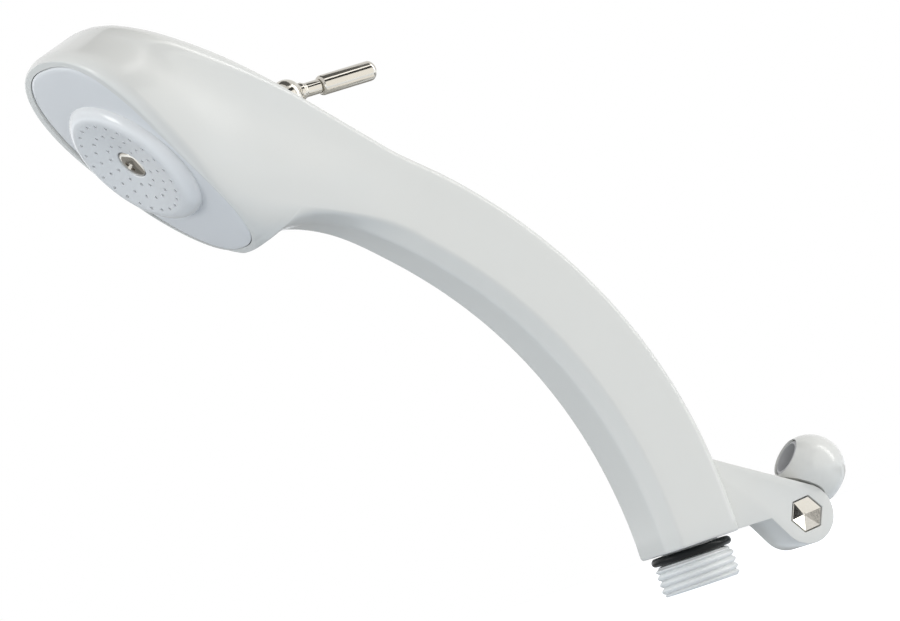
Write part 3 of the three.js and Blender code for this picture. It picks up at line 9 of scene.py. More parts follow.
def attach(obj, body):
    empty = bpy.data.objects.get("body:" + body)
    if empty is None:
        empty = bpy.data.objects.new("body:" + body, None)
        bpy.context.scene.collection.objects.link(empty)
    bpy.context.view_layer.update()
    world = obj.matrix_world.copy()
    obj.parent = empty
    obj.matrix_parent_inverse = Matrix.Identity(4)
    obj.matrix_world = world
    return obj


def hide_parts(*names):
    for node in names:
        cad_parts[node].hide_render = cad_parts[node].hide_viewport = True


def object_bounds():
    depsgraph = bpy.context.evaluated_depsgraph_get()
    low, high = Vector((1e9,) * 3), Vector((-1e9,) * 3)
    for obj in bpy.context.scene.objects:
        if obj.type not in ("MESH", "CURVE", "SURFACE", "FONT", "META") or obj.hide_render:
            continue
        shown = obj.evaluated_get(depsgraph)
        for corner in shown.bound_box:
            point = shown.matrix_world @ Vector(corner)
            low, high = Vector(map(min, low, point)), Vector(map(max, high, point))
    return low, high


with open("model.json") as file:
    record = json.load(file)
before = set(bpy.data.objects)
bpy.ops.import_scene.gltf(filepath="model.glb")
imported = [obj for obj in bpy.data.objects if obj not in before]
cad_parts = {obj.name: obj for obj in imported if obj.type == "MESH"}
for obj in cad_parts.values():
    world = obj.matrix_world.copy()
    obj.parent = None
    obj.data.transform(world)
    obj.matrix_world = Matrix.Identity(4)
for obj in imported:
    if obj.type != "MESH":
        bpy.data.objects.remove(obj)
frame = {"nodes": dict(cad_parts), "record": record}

cad_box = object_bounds()
record = frame["record"]
scene = bpy.context.scene

# ---------------------------------------------------------------- studio
# A white studio set: a long-lens camera, level with the handset and rolled so that the arm falls
# away to the right, a broad lamp beside the camera with softer ones to the left, the right and
# overhead, cards that only polished parts reflect, and a pale paper floor.

look_at = Vector((0.0, -0.0443, 0.0879))
toward_camera = Vector((0.887, -0.4617, 0.0)).normalized()
camera_data = bpy.data.cameras.new("camera")
camera_data.lens = 900.0
camera_data.sensor_width = 36.0
camera = bpy.data.objects.new("camera", camera_data)
scene.collection.objects.link(camera)
view_width = 0.2311
view_distance = view_width * camera_data.lens / camera_data.sensor_width
camera.location = look_at + toward_camera * view_distance
roll = math.radians(18.45)
camera.rotation_mode = "QUATERNION"
level = toward_camera.to_track_quat("Z", "Y")
camera.rotation_quaternion = Matrix.Rotation(-roll, 3, toward_camera).to_quaternion() @ level
camera_data.clip_start, camera_data.clip_end = 0.1, 60.0
scene.camera = camera


def softbox(name, place, width, height, watts, colour, in_reflections):
    """An oblong lamp that faces the handset, placed from the point that the camera looks at."""
    lamp = bpy.data.lights.new(name, "AREA")
    lamp.shape, lamp.size, lamp.size_y = "RECTANGLE", width, height
    lamp.energy, lamp.color = watts, colour
    holder = bpy.data.objects.new(name, lamp)
    holder.location = look_at + Vector(place)
    holder.rotation_mode = "QUATERNION"
    holder.rotation_quaternion = Vector(place).to_track_quat("Z", "Y")
    holder.visible_glossy = in_reflections
    scene.collection.objects.link(holder)


for lamp_row in (
        ("key_softbox", (1.15, -0.2, 0.12), 1.3, 0.5, 4.65, (1.0, 0.985, 0.955), False),
        ("fill_softbox", (-0.32, -0.95, 0.16), 0.9, 0.6, 2.3, (0.92, 0.965, 1.0), False),
        ("left_softbox", (-0.9, -0.6, 0.3), 0.6, 0.6, 0.9, (0.98, 0.99, 1.0), False),
        ("overhead_softbox", (0.15, -0.35, 0.9), 0.5, 0.4, 1.0, (1.0, 0.985, 0.95), False),
        ("right_softbox", (0.35, 1.0, 0.1), 0.8, 0.6, 1.7, (1.0, 0.99, 0.97), False),
        ("edge_strip", (0.36, 0.82, 0.38), 0.2, 0.9, 2.9, (1.0, 0.99, 0.96), True),
        ("high_strip", (0.43, 0.47, 0.77), 0.45, 0.16, 0.26, (1.0, 0.99, 0.96), True),
        ("sparkle_lamp", (-0.16, -0.97, 0.2), 0.3, 0.3, 1.4, (1.0, 1.0, 0.98), True)):
    softbox(*lamp_row)


def fill(node, values):
    """Sets the node's inputs, by their names, to the values."""
    for label, value in values.items():
        node.inputs[label].default_value = value


def reflection_card(name, place, facing, width, height, glow):
    """A board that only reflections see, bright or dark, which gives polished metal its bands."""
    card_mesh = bmesh.new()
    bmesh.ops.create_grid(card_mesh, x_segments=2, y_segments=2, size=0.5)
    bmesh.ops.scale(card_mesh, vec=(width, height, 1.0), verts=card_mesh.verts)
    data = bpy.data.meshes.new(name)
    card_mesh.to_mesh(data)
    card_mesh.free()
    board = bpy.data.objects.new(name, data)
    board.location = Vector(place)
    board.rotation_mode = "QUATERNION"
    board.rotation_quaternion = (Vector(place) - Vector(facing)).to_track_quat("Z", "Y")
    paint = bpy.data.materials.new(name)
    paint.use_nodes = True
    fill(paint.node_tree.nodes["Principled BSDF"],
         {"Base Color": (0.02, 0.02, 0.02, 1.0), "Specular IOR Level": 0.0,
          "Emission Color": (1.0, 0.985, 0.95, 1.0), "Emission Strength": glow})
    data.materials.append(paint)
    scene.collection.objects.link(board)
    board.visible_camera = board.visible_diffuse = False
    board.visible_shadow = board.visible_transmission = False


lever_spot, bolt_spot = (0.0, -0.085, 0.17), (0.007, 0.029, 0.019)
for card_row in (
        ("side_card", (0.293, 0.067, 0.128), (0.0, -0.085, 0.128), 0.22, 0.30, 1.4),
        ("brow_card", (0.293, 0.067, 0.353), lever_spot, 0.28, 0.14, 0.04),
        ("overhead_card", (-0.03, 0.04, 0.52), lever_spot, 0.45, 0.22, 0.14),
        ("floor_bright_card", (0.07, 0.035, -0.033), (0.07, 0.035, 0.5), 0.13, 0.13, 1.3),
        ("floor_dark_card", (0.06, 0.235, -0.033), (0.06, 0.235, 0.5), 0.17, 0.17, 0.02),
        ("left_card", (-0.38, -0.24, -0.031), (-0.38, -0.24, 0.5), 0.36, 0.28, 0.2),
        ("ground_card", (-0.64, 0.0, -0.033), (-0.64, 0.0, 0.5), 1.1, 1.2, 0.38),
        ("front_card", (0.90, -0.26, 0.37), bolt_spot, 0.4, 0.3, 0.15)):
    reflection_card(*card_row)


def added(tree, kind, values=None, **settings):
    """A new node in the tree, with its settings made and its inputs filled."""
    node = tree.nodes.new(kind)
    for label, value in settings.items():
        setattr(node, label, value)
    fill(node, values or {})
    return node


def wire(tree, *joins):
    """Links nodes; each join names a node, its output, the next node and that node's input."""
    for source, output, target, inlet in joins:
        tree.links.new(source.outputs[output], target.inputs[inlet])


def seen_or_reflected(tree):
    """One for rays from the camera and for those that gloss or glass sends on, else zero."""
    rays = added(tree, "ShaderNodeLightPath")
    mirrored_rays = added(tree, "ShaderNodeMath", operation="MAXIMUM")
    all_rays = added(tree, "ShaderNodeMath", operation="MAXIMUM")
    wire(tree,
         (rays, "Is Glossy Ray", mirrored_rays, 0),
         (rays, "Is Transmission Ray", mirrored_rays, 1),
         (rays, "Is Camera Ray", all_rays, 0),
         (mirrored_rays, 0, all_rays, 1))
    return all_rays


world = bpy.data.worlds.new("white_room")
world.use_nodes = True
scene.world = world
room = world.node_tree
room.nodes.clear()
room_out = added(room, "ShaderNodeOutputWorld")
room_mix = added(room, "ShaderNodeMixShader")
room_light = added(room, "ShaderNodeBackground",
                   {"Color": (0.93, 0.96, 1.0, 1.0), "Strength": 0.5})
room_white = added(room, "ShaderNodeBackground",
                   {"Color": (1.0, 1.0, 1.0, 1.0), "Strength": 1.0})
wire(room,
     (seen_or_reflected(room), 0, room_mix, "Fac"),
     (room_light, 0, room_mix, 1),
     (room_white, 0, room_mix, 2),
     (room_mix, 0, room_out, "Surface"))

floor_drop = 0.035
bpy.ops.mesh.primitive_grid_add(x_subdivisions=8, y_subdivisions=8, size=6.0,
                                location=(0.0, -0.04, cad_box[0].z - floor_drop))
floor = bpy.context.object
floor.name = "floor"
floor_paper = bpy.data.materials.new("floor_paper")
floor_paper.use_nodes = True
paper = floor_paper.node_tree
paper_bsdf = paper.nodes["Principled BSDF"]
fill(paper_bsdf, {"Roughness": 0.9, "Specular IOR Level": 0.1})
paper_noise = added(paper, "ShaderNodeTexNoise", {"Scale": 60.0})
paper_tone = added(paper, "ShaderNodeMix",
                   {"A": (0.57, 0.62, 0.68, 1.0), "B": (0.60, 0.65, 0.70, 1.0)}, data_type="RGBA")
paper_glow = added(paper, "ShaderNodeEmission")
paper_place = added(paper, "ShaderNodeTexCoord")
paper_reach = added(paper, "ShaderNodeVectorMath", operation="LENGTH")
paper_fade = added(paper, "ShaderNodeMapRange",
                   {"From Min": 0.12, "From Max": 0.45, "To Min": 0.55, "To Max": 1.0})
paper_add = added(paper, "ShaderNodeAddShader")
paper_mix = added(paper, "ShaderNodeMixShader")
wire(paper,
     (paper_noise, "Fac", paper_tone, "Factor"),
     (paper_tone, "Result", paper_bsdf, "Base Color"),
     (paper_place, "Object", paper_reach, 0),
     (paper_reach, "Value", paper_fade, "Value"),
     (paper_fade, "Result", paper_glow, "Strength"),
     (seen_or_reflected(paper), 0, paper_mix, "Fac"),
     (paper_bsdf, 0, paper_mix, 1),
     (paper_bsdf, 0, paper_add, 0),
     (paper_glow, 0, paper_add, 1),
     (paper_add, 0, paper_mix, 2),
     (paper_mix, 0, paper.nodes["Material Output"], "Surface"))
floor.data.materials.append(floor_paper)

scene.view_settings.view_transform = "Standard"

# ---------------------------------------------------------------- moulded body
# The handset's shell: a square hollow arm with chamfered front edges that bends forward and
# spreads into an oval head. It is one injection moulding in glossy white ABS, with a bracket lug
# moulded on its back at the foot and a shallow recess for the face plate.

MM = 0.001


def shader_group(name, inputs, outputs):
    """A new node group with named inputs and outputs, and its two end nodes."""
    group = bpy.data.node_groups.new(name, "ShaderNodeTree")
    for label, kind, value in inputs:
        socket = group.interface.new_socket(label, in_out="INPUT", socket_type=kind)
        socket.default_value = value
    for label, kind in outputs:
        group.interface.new_socket(label, in_out="OUTPUT", socket_type=kind)
    return group, group.nodes.new("NodeGroupInput"), group.nodes.new("NodeGroupOutput")


# Slow drift of a moulding's or plating's colour over its surface.
tone_drift, drift_in, drift_out = shader_group(
    "tone_drift",
    [("Colour", "NodeSocketColor", (0.8, 0.8, 0.8, 1.0)),
     ("Other Colour", "NodeSocketColor", (0.7, 0.7, 0.7, 1.0)),
     ("Scale", "NodeSocketFloat", 40.0)],
    [("Colour", "NodeSocketColor")])
drift_place = added(tone_drift, "ShaderNodeTexCoord")
drift_noise = added(tone_drift, "ShaderNodeTexNoise", {"Detail": 3.0})
drift_mix = added(tone_drift, "ShaderNodeMix", data_type="RGBA")
wire(tone_drift,
     (drift_place, "Object", drift_noise, "Vector"),
     (drift_in, "Scale", drift_noise, "Scale"),
     (drift_noise, "Fac", drift_mix, "Factor"),
     (drift_in, "Colour", drift_mix, "A"),
     (drift_in, "Other Colour", drift_mix, "B"),
     (drift_mix, "Result", drift_out, "Colour"))

# Handling: long faint wipes and small smudges that change how sharply a surface reflects.
handling, handling_in, handling_out = shader_group(
    "handling",
    [("Scale", "NodeSocketFloat", 120.0), ("Low", "NodeSocketFloat", 0.2),
     ("High", "NodeSocketFloat", 0.3)],
    [("Roughness", "NodeSocketFloat")])
handling_place = added(handling, "ShaderNodeTexCoord")
handling_stretch = added(handling, "ShaderNodeMapping", {"Scale": (1.0, 1.0, 0.4)})
handling_wipes = added(handling, "ShaderNodeTexNoise", {"Detail": 2.0, "Roughness": 0.5})
handling_range = added(handling, "ShaderNodeMapRange", {"From Min": 0.3, "From Max": 0.75})
wire(handling,
     (handling_place, "Object", handling_stretch, "Vector"),
     (handling_stretch, 0, handling_wipes, "Vector"),
     (handling_in, "Scale", handling_wipes, "Scale"),
     (handling_wipes, "Fac", handling_range, "Value"),
     (handling_in, "Low", handling_range, "To Min"),
     (handling_in, "High", handling_range, "To Max"),
     (handling_range, "Result", handling_out, "Roughness"))

# Edges that hands and cloths have rubbed: a mask from how sharply the surface turns.
rubbed_edges, rubbed_in, rubbed_out = shader_group(
    "rubbed_edges",
    [("Colour", "NodeSocketColor", (0.8, 0.8, 0.8, 1.0)),
     ("Edge Colour", "NodeSocketColor", (0.9, 0.9, 0.9, 1.0)),
     ("Reach", "NodeSocketFloat", 0.6), ("Amount", "NodeSocketFloat", 0.5)],
    [("Colour", "NodeSocketColor")])
rubbed_shape = added(rubbed_edges, "ShaderNodeNewGeometry")
rubbed_range = added(rubbed_edges, "ShaderNodeMapRange", {"From Min": 0.52})
rubbed_amount = added(rubbed_edges, "ShaderNodeMath", operation="MULTIPLY")
rubbed_mix = added(rubbed_edges, "ShaderNodeMix", data_type="RGBA")
wire(rubbed_edges,
     (rubbed_shape, "Pointiness", rubbed_range, "Value"),
     (rubbed_in, "Reach", rubbed_range, "From Max"),
     (rubbed_range, "Result", rubbed_amount, 0),
     (rubbed_in, "Amount", rubbed_amount, 1),
     (rubbed_amount, 0, rubbed_mix, "Factor"),
     (rubbed_in, "Colour", rubbed_mix, "A"),
     (rubbed_in, "Edge Colour", rubbed_mix, "B"),
     (rubbed_mix, "Result", rubbed_out, "Colour"))

# Fine relief: the faint orange-peel of a moulding, or the grain of rubber and turned metal.
fine_relief, relief_in, relief_out = shader_group(
    "fine_relief",
    [("Scale", "NodeSocketFloat", 600.0), ("Waviness", "NodeSocketFloat", 0.5)],
    [("Height", "NodeSocketFloat")])
relief_place = added(fine_relief, "ShaderNodeTexCoord")
relief_fine = added(fine_relief, "ShaderNodeTexNoise", {"Detail": 4.0})
relief_broad = added(fine_relief, "ShaderNodeTexNoise", {"Scale": 55.0})
relief_mix = added(fine_relief, "ShaderNodeMix", data_type="FLOAT")
wire(fine_relief,
     (relief_place, "Object", relief_fine, "Vector"),
     (relief_place, "Object", relief_broad, "Vector"),
     (relief_in, "Scale", relief_fine, "Scale"),
     (relief_in, "Waviness", relief_mix, "Factor"),
     (relief_fine, "Fac", relief_mix, "A"),
     (relief_broad, "Fac", relief_mix, "B"),
     (relief_mix, "Result", relief_out, "Height"))


def finish_of(name, colour, other, edge, roughness, relief, metallic=0.0, coat=0.0,
              edge_amount=0.5, drift_scale=45.0, mark_scale=130.0, specular=0.5):
    """A material: drifting colour, rubbed edges, handled gloss and fine relief on one surface.

    Roughness is its least and its most; relief is its scale, its waviness and its strength.
    """
    least_rough, most_rough = roughness
    relief_scale, waviness, strength = relief
    material = bpy.data.materials.new(name)
    material.use_nodes = True
    tree = material.node_tree
    surface = tree.nodes["Principled BSDF"]
    fill(surface, {"Metallic": metallic, "Coat Weight": coat, "Coat Roughness": 0.08,
                   "Specular IOR Level": specular})

    def placed(group, values):
        return added(tree, "ShaderNodeGroup", values, node_tree=group)

    drift = placed(tone_drift, {"Colour": (*colour, 1.0), "Other Colour": (*other, 1.0),
                                "Scale": drift_scale})
    rubbed = placed(rubbed_edges, {"Edge Colour": (*edge, 1.0), "Amount": edge_amount})
    marks = placed(handling, {"Scale": mark_scale, "Low": least_rough, "High": most_rough})
    grain = placed(fine_relief, {"Scale": relief_scale, "Waviness": waviness})
    bump = added(tree, "ShaderNodeBump", {"Strength": strength, "Distance": 0.0002})
    wire(tree,
         (drift, "Colour", rubbed, "Colour"),
         (rubbed, "Colour", surface, "Base Color"),
         (marks, "Roughness", surface, "Roughness"),
         (grain, "Height", bump, "Height"),
         (bump, "Normal", surface, "Normal"))
    return material


glossy_white = finish_of(
    "glossy_white_moulding", (0.705, 0.70, 0.67), (0.69, 0.69, 0.665), (0.78, 0.775, 0.75),
    (0.19, 0.25), (900.0, 0.7, 0.04), coat=0.18, edge_amount=0.3, mark_scale=60.0, specular=0.4)


def lerp(a, b, t):
    return a + (b - a) * t


def ease(value, start, end):
    """Runs from zero to one, gently at both ends, as the value goes from start to end."""
    t = min(max((value - start) / (end - start), 0.0), 1.0)
    return t * t * (3.0 - 2.0 * t)


def bend(start, corner, end, t):
    """Point at t on a curve that leaves start towards the corner and turns to the end."""
    return start * (1 - t) ** 2 + corner * 2 * t * (1 - t) + end * t * t


def pulled_curve(a, b, c, d, t):
    """Point at t on a curve from a to d that is pulled towards b and then c."""
    return a * (1 - t) ** 3 + b * (3 * t * (1 - t) ** 2) + c * (3 * t * t * (1 - t)) + d * t ** 3


def placed_frame(y, z, lean):
    """A frame in the middle plane, in millimetres, that leans about X by the angle in degrees."""
    return Matrix.Translation((0.0, y, z)) @ Matrix.Rotation(math.radians(lean), 4, "X")


# The arm's square section and its middle line, which rises straight and then leans forward.
arm_width, arm_depth, arm_foot = 21.8, 21.8, 10.8
chamfer_depth, front_flat = 3.4, 7.5
foot_round, neck_round, crown_round = 3.2, 1.9, 6.5
foot_round_share = 0.35
arm_top, arm_lean, arm_rise, arm_pull = Vector((0.0, -45.2, 112.8)), math.radians(47.7), 41.0, 40.0
arm_heading = Vector((0.0, -math.sin(arm_lean), math.cos(arm_lean)))
arm_points = (Vector((0.0, 0.0, arm_foot)), Vector((0.0, 0.0, arm_foot + arm_rise)),
              arm_top - arm_heading * arm_pull, arm_top)

# The head is laid out in the face's own frame: y runs up the oval and z comes out of it.
face_frame = placed_frame(-115.9, 148.1, 180.0 - 57.5)
seam = {"long": 35.0, "wide": 22.5, "power": 2.5, "egg": 0.15}
rim = {"long": 36.9, "wide": 25.1, "power": 2.4, "egg": 0.29}
rim_depth, rim_chamfer, chin_flat = 3.0, 2.4, 3.0
dome_radius = 260.0
nose_draft, nose_round = 5.0, 6.1
head_join, head_flare = -8.0, 62.0
head_thick, head_taper, head_curve, crown_lift = 31.9, 0.335, 0.001, 1.3
neck_start, neck_pull = -46.0, 7.0
chin_pull, chin_ahead, chin_below = 20.8, 1.75, 15.2
neck_spread, crown_spread = 0.4, 0.77
chin_bulge, shoulder_climb = 0.95, 0.15
# The stretches of y over which the head's back widens, narrows again, swells and rounds off.
spread_run, waist_run, swell_run, round_run = (-50, 25), (-10, 10), (-42, -5), (-20, 22)


def oval_half(y, oval, grow=0.0):
    """Half the width, at y, of a flattened oval with one end fuller than the other."""
    share = y / (oval["long"] + grow)
    if abs(share) >= 1.0:
        return 0.0
    power = oval["power"]
    return (oval["wide"] + grow) * (1.0 - abs(share) ** power) ** (1.0 / power) \
        * (1.0 + oval["egg"] * share)


def dome_height(x, y):
    """How far the domed face lies below its own middle."""
    return -(x * x + y * y) / (2.0 * dome_radius)


def side_half(y):
    """Half the head's width: the rim's oval, and below it a flare that runs out into the arm."""
    if y >= head_join:
        return oval_half(y, rim)
    t = min((head_join - y) / head_flare, 1.0)
    slope = (oval_half(head_join - 1.0, rim) - oval_half(head_join + 1.0, rim)) / 2.0 * head_flare
    return lerp(arm_width / 2.0, oval_half(head_join, rim), 2 * t ** 3 - 3 * t ** 2 + 1) \
        + slope * (t ** 3 - 2 * t ** 2 + t)


def head_depth(y):
    """How far the middle of the head's back lies behind the face."""
    return head_thick - head_taper * y - head_curve * y * y \
        + crown_lift * (max(y, 0.0) / rim["long"]) ** 2


# A rib is the section at one place: its middle points front and back, and its half widths there.
def arm_rib(t):
    centre = pulled_curve(*arm_points, t)
    before, after = max(t - 0.001, 0.0), min(t + 0.001, 1.0)
    ahead = (pulled_curve(*arm_points, after) - pulled_curve(*arm_points, before)).normalized()
    front = Vector((0.0, -ahead.z, ahead.y))
    return {"front": centre + front * arm_depth / 2, "back": centre - front * arm_depth / 2,
            "side": arm_width / 2, "back_half": arm_width / 2, "front_half": front_flat,
            "shoulder": chamfer_depth, "swell": arm_depth - chamfer_depth, "bulge": 0.0, "end": 0.0,
            "back_round": lerp(foot_round, neck_round, ease(t, 0.0, foot_round_share))}


arm_end_front = arm_rib(1.0)["front"]
arm_end_back = arm_rib(1.0)["back"]
face_back = face_frame.inverted()
back_slope = head_taper + 2 * head_curve * neck_start
neck_floor, rim_end_height = -head_depth(neck_start), dome_height(0.0, rim["long"])
neck_points = (arm_end_back, arm_end_back + arm_heading * neck_pull,
               face_frame @ Vector((0.0, neck_start - neck_pull,
                                    neck_floor - neck_pull * back_slope)),
               face_frame @ Vector((0.0, neck_start, neck_floor)))
chin_points = (arm_end_front, arm_end_front + arm_heading * chin_pull,
               face_frame @ Vector((0.0, -rim["long"] - chin_ahead, rim_end_height - chin_below)),
               face_frame @ Vector((0.0, -rim["long"], rim_end_height)))
neck_foot = face_back @ arm_end_front


def head_rib(y, high):
    start, rim_end = neck_foot.y, -rim["long"]
    if y < neck_start:
        share = min(max((y - start) / (neck_start - start), 0.0), 1.0)
        back = pulled_curve(*neck_points, share)
    else:
        back = face_frame @ Vector((0.0, y, -head_depth(y)))
    low_shoulder = neck_foot.z - chamfer_depth + (y - start) * shoulder_climb
    rim_shoulder = dome_height(0.0, y) - rim_depth
    shoulder_height = lerp(low_shoulder, rim_shoulder, ease(y, start, head_join))
    side, rim_half = side_half(y), oval_half(y, rim)
    spread = lerp(neck_spread, crown_spread, ease(y, *spread_run))
    back_half = arm_width / 2 + (side - arm_width / 2) * spread
    rim_side = head_depth(y) + dome_height(0.0, y) - rim_depth
    if y >= rim_end:
        front_half = max(rim_half - rim_chamfer, 0.5 * rim_half)
    else:
        front_half = lerp(front_flat, chin_flat, ease(y, start, rim_end))
    return {"front": face_frame @ Vector((0.0, y, high)), "back": back, "side": side,
            "back_half": min(back_half, side * lerp(1.0, 0.95, ease(y, *waist_run))),
            "front_half": front_half, "shoulder": max(high - shoulder_height, rim_chamfer),
            "bulge": ease(y, start, rim_end) * chin_bulge, "end": oval_half(y, seam),
            "swell": lerp(arm_depth - chamfer_depth, rim_side, ease(y, *swell_run)),
            "back_round": lerp(neck_round, crown_round, ease(y, *round_run))}


back_steps, round_steps, side_steps, corner_steps, front_steps = 5, 8, 8, 4, 4
side_points = back_steps + 1 + round_steps + side_steps - 1


def half_section(rib):
    """Points of one half of a rib, from the middle of the back round the side to the front.

    The shares of the depth and width keep each rounding clear of the next where a rib is thin.
    """
    outward = rib["front"] - rib["back"]
    depth = outward.length
    outward = outward / depth if depth > 1e-6 else Vector(face_frame.col[2][:3])
    sill = min(rib["shoulder"], 0.62 * depth)
    low = depth - sill
    back_half, side = rib["back_half"], rib["side"]
    round_off = max(min(rib["back_round"], 0.8 * back_half, 0.42 * low), 0.02)
    crown = min(1.0, max(back_half / (arm_width / 2) - 0.6, 0.0)) * min(1.0, depth / 6.0)
    flat = []
    for i in range(back_steps + 1):
        x = (back_half - round_off) * i / back_steps
        flat.append((x, -crown * (1.0 - (i / back_steps) ** 2)))
    for i in range(1, round_steps + 1):
        turn = math.pi / 2 * i / round_steps
        flat.append((back_half - round_off + round_off * math.sin(turn),
                     round_off * (1.0 - math.cos(turn))))
    swell = max(min(rib["swell"], low) - round_off, 0.01)
    for i in range(1, side_steps):
        v = lerp(round_off, low, i / side_steps)
        share = min((v - round_off) / swell, 1.0)
        flat.append((pulled_curve(back_half, back_half, side, side, share), v))
    front_half = min(max(min(rib["front_half"], side - 0.3), rib["end"] + 0.35), side)
    soft = min(1.0, 0.4 * sill)
    span = Vector((front_half - side, sill))
    run = span.normalized() * soft if span.length > 1e-6 else Vector((0.0, 0.0))
    shoulder, brow = Vector((side, low)), Vector((front_half, depth))
    corner_shares = [i / corner_steps for i in range(corner_steps + 1)]
    chamfer = [bend(shoulder + Vector((0.0, -soft)), shoulder, shoulder + run, t)
               for t in corner_shares]
    chamfer += [(shoulder + run).lerp(brow - run, t) for t in corner_shares[1:-1]]
    chamfer += [bend(brow - run, brow, brow + Vector((-soft, 0.0)), t) for t in corner_shares]
    for i, point in enumerate(chamfer):
        turn = math.pi / 2 * i / (len(chamfer) - 1)
        arc = Vector((front_half + (side - front_half) * math.cos(turn),
                      low + sill * math.sin(turn)))
        mixed = point.lerp(arc, rib["bulge"])
        flat.append((mixed.x, mixed.y))
    start_x = flat[-1][0]
    for i in range(1, front_steps + 1):
        flat.append((lerp(start_x, rib["end"], i / front_steps), depth))
    return [rib["back"] + outward * v + Vector((x, 0.0, 0.0)) for x, v in flat]


arm_ribs, chin_ribs, face_ribs = 45, 26, 57
ribs = [arm_rib(i / (arm_ribs - 1)) for i in range(arm_ribs)]
for i in range(1, chin_ribs + 1):
    point = face_back @ pulled_curve(*chin_points, i / (chin_ribs + 1))
    ribs.append(head_rib(point.y, point.z))
seam_places = [-seam["long"] * math.cos(math.pi * i / (face_ribs - 1)) for i in range(face_ribs)]
lower_rim = [short - rim["long"] for short in (0.0005, 0.01, 0.1, 0.35, 0.8, 1.3, 1.7)]
face_places = lower_rim + seam_places + [-v for v in reversed(lower_rim)]
ribs += [head_rib(y, dome_height(0.0, y)) for y in face_places]


def drawn_in(point):
    """The point with the head's end drafted towards its back and its back edge rounded over."""
    local = face_back @ point
    if local.y <= 0.0:
        return point
    deep, full = dome_height(local.x, local.y) - local.z, head_depth(local.y)
    draft = nose_draft * min(max((deep - rim_depth) / (full - rim_depth), 0.0), 1.0)
    turn = min(max((deep - full + nose_round) / nose_round, 0.0), 1.0)
    inset = draft + nose_round * (1.0 - math.sqrt(1.0 - turn ** 2))
    local.y -= inset * (local.y / rim["long"]) ** 1.5
    return face_frame @ local


def sheet_mesh(mesh, rows):
    """Stretches quads over rows of points and returns the rows of new vertices."""
    made = [[mesh.verts.new(p * MM) for p in row] for row in rows]
    for lower, upper in zip(made, made[1:]):
        for i in range(len(lower) - 1):
            mesh.faces.new((lower[i], lower[i + 1], upper[i + 1], upper[i]))
    return made


def mirrored(rows):
    """The same rows on the other side of the middle plane."""
    return [[Vector((-p.x, p.y, p.z)) for p in row] for row in rows]


def closed_up(mesh, within, sliver=0.0):
    """Merges points that meet, takes out slivers and turns every face outward."""
    bmesh.ops.remove_doubles(mesh, verts=mesh.verts, dist=within)
    if sliver:
        bmesh.ops.dissolve_degenerate(mesh, dist=sliver, edges=mesh.edges)
    bmesh.ops.recalc_face_normals(mesh, faces=mesh.faces)


shell = bmesh.new()
rows = [[drawn_in(p) for p in half_section(rib)] for rib in ribs]
# Below the head's middle, ribs that stand a hair apart share the points of their back and side.
face_rows, least_step = rows[arm_ribs + chin_ribs:], 0.7
kept_row, kept_place = face_rows[0], -rim["long"]
for row, y in zip(face_rows, face_places):
    if y - kept_place < least_step and y < 0.0:
        row[:side_points] = kept_row[:side_points]
    else:
        kept_row, kept_place = row, y
rows.append([Vector((0.0, p.y, p.z)) for p in rows[-1]])
foot_soft, foot_steps = 0.8, 3
foot = []
for i in range(foot_steps + 1):
    turn = math.pi / 2 * i / foot_steps
    shrink = foot_soft * (1.0 - math.sin(turn))
    scale = 1.0 - shrink / (arm_width / 2)
    height = arm_foot + foot_soft * (1.0 - math.cos(turn))
    foot.append([Vector((p.x * scale, p.y * scale, height)) for p in rows[0]])
rows = foot + rows[2:]
for side_rows in (rows, mirrored(rows)):
    made = sheet_mesh(shell, side_rows)
    hub = shell.verts.new(Vector((0.0, 0.0, arm_foot)) * MM)
    for i in range(len(made[0]) - 1):
        shell.faces.new((made[0][i], hub, made[0][i + 1]))
recess_in, recess_narrow = 0.92, 0.9
wall_mid, wall_foot, ledge, recess_floor = 2.0, 4.2, 4.4, 4.6
recess_rows = []
for y in seam_places:
    half, top, inner_y = oval_half(y, seam), dome_height(0.0, y), y * recess_in
    inner = oval_half(inner_y, {**seam, "long": seam["long"] * recess_in}) * recess_narrow
    recess_rows.append([face_frame @ Vector(p) for p in (
        (half, y, top), (half, y, top - wall_mid), (half, y, top - wall_foot),
        (inner, inner_y, top - ledge), (0.0, inner_y, top - recess_floor))])
for side_rows in (recess_rows, mirrored(recess_rows)):
    sheet_mesh(shell, side_rows)
closed_up(shell, 0.00001, sliver=0.000004)


def finished_piece(name, mesh, material, body, stands_for, sharp=35.0):
    """A named object from a bmesh: smooth where it turns gently, crisp where it turns sharply."""
    data = bpy.data.meshes.new(name)
    mesh.to_mesh(data)
    mesh.free()
    data.materials.append(material)
    data.shade_smooth()
    data.set_sharp_from_angle(angle=math.radians(sharp))
    piece = bpy.data.objects.new(name, data)
    scene.collection.objects.link(piece)
    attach(piece, body)
    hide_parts(*stands_for)


def join_in(mesh, part):
    """Adds the part's faces to the mesh and frees the part."""
    data = bpy.data.meshes.new("part")
    part.to_mesh(data)
    part.free()
    mesh.from_mesh(data)
    bpy.data.meshes.remove(data)


def joint_place(name):
    """Where the record puts the joint, in metres."""
    joints = record["behaviour"]["joints"]
    return Vector(next(joint["pos_m"] for joint in joints if joint["name"] == name))


# The bracket lug: two ears about a slot, with eased edges and a six-sided pocket in each ear.
pivot_y, pivot_z = joint_place("eye_tilt").y / MM, joint_place("eye_tilt").z / MM
lug_radius, lug_half, slot_half, slot_radius = 7.8, 6.6, 2.8, 6.4
lug_top, lug_corner, lug_root, lug_ease, lug_steps = 30.2, 21.9, 4.0, 0.45, 32
hex_flats, hex_turn, pocket, bolt_hole = 8.6, math.radians(5.0), 2.5, 2.7
past_top, past_end, right_through = 40.0, 30.0, 20.0


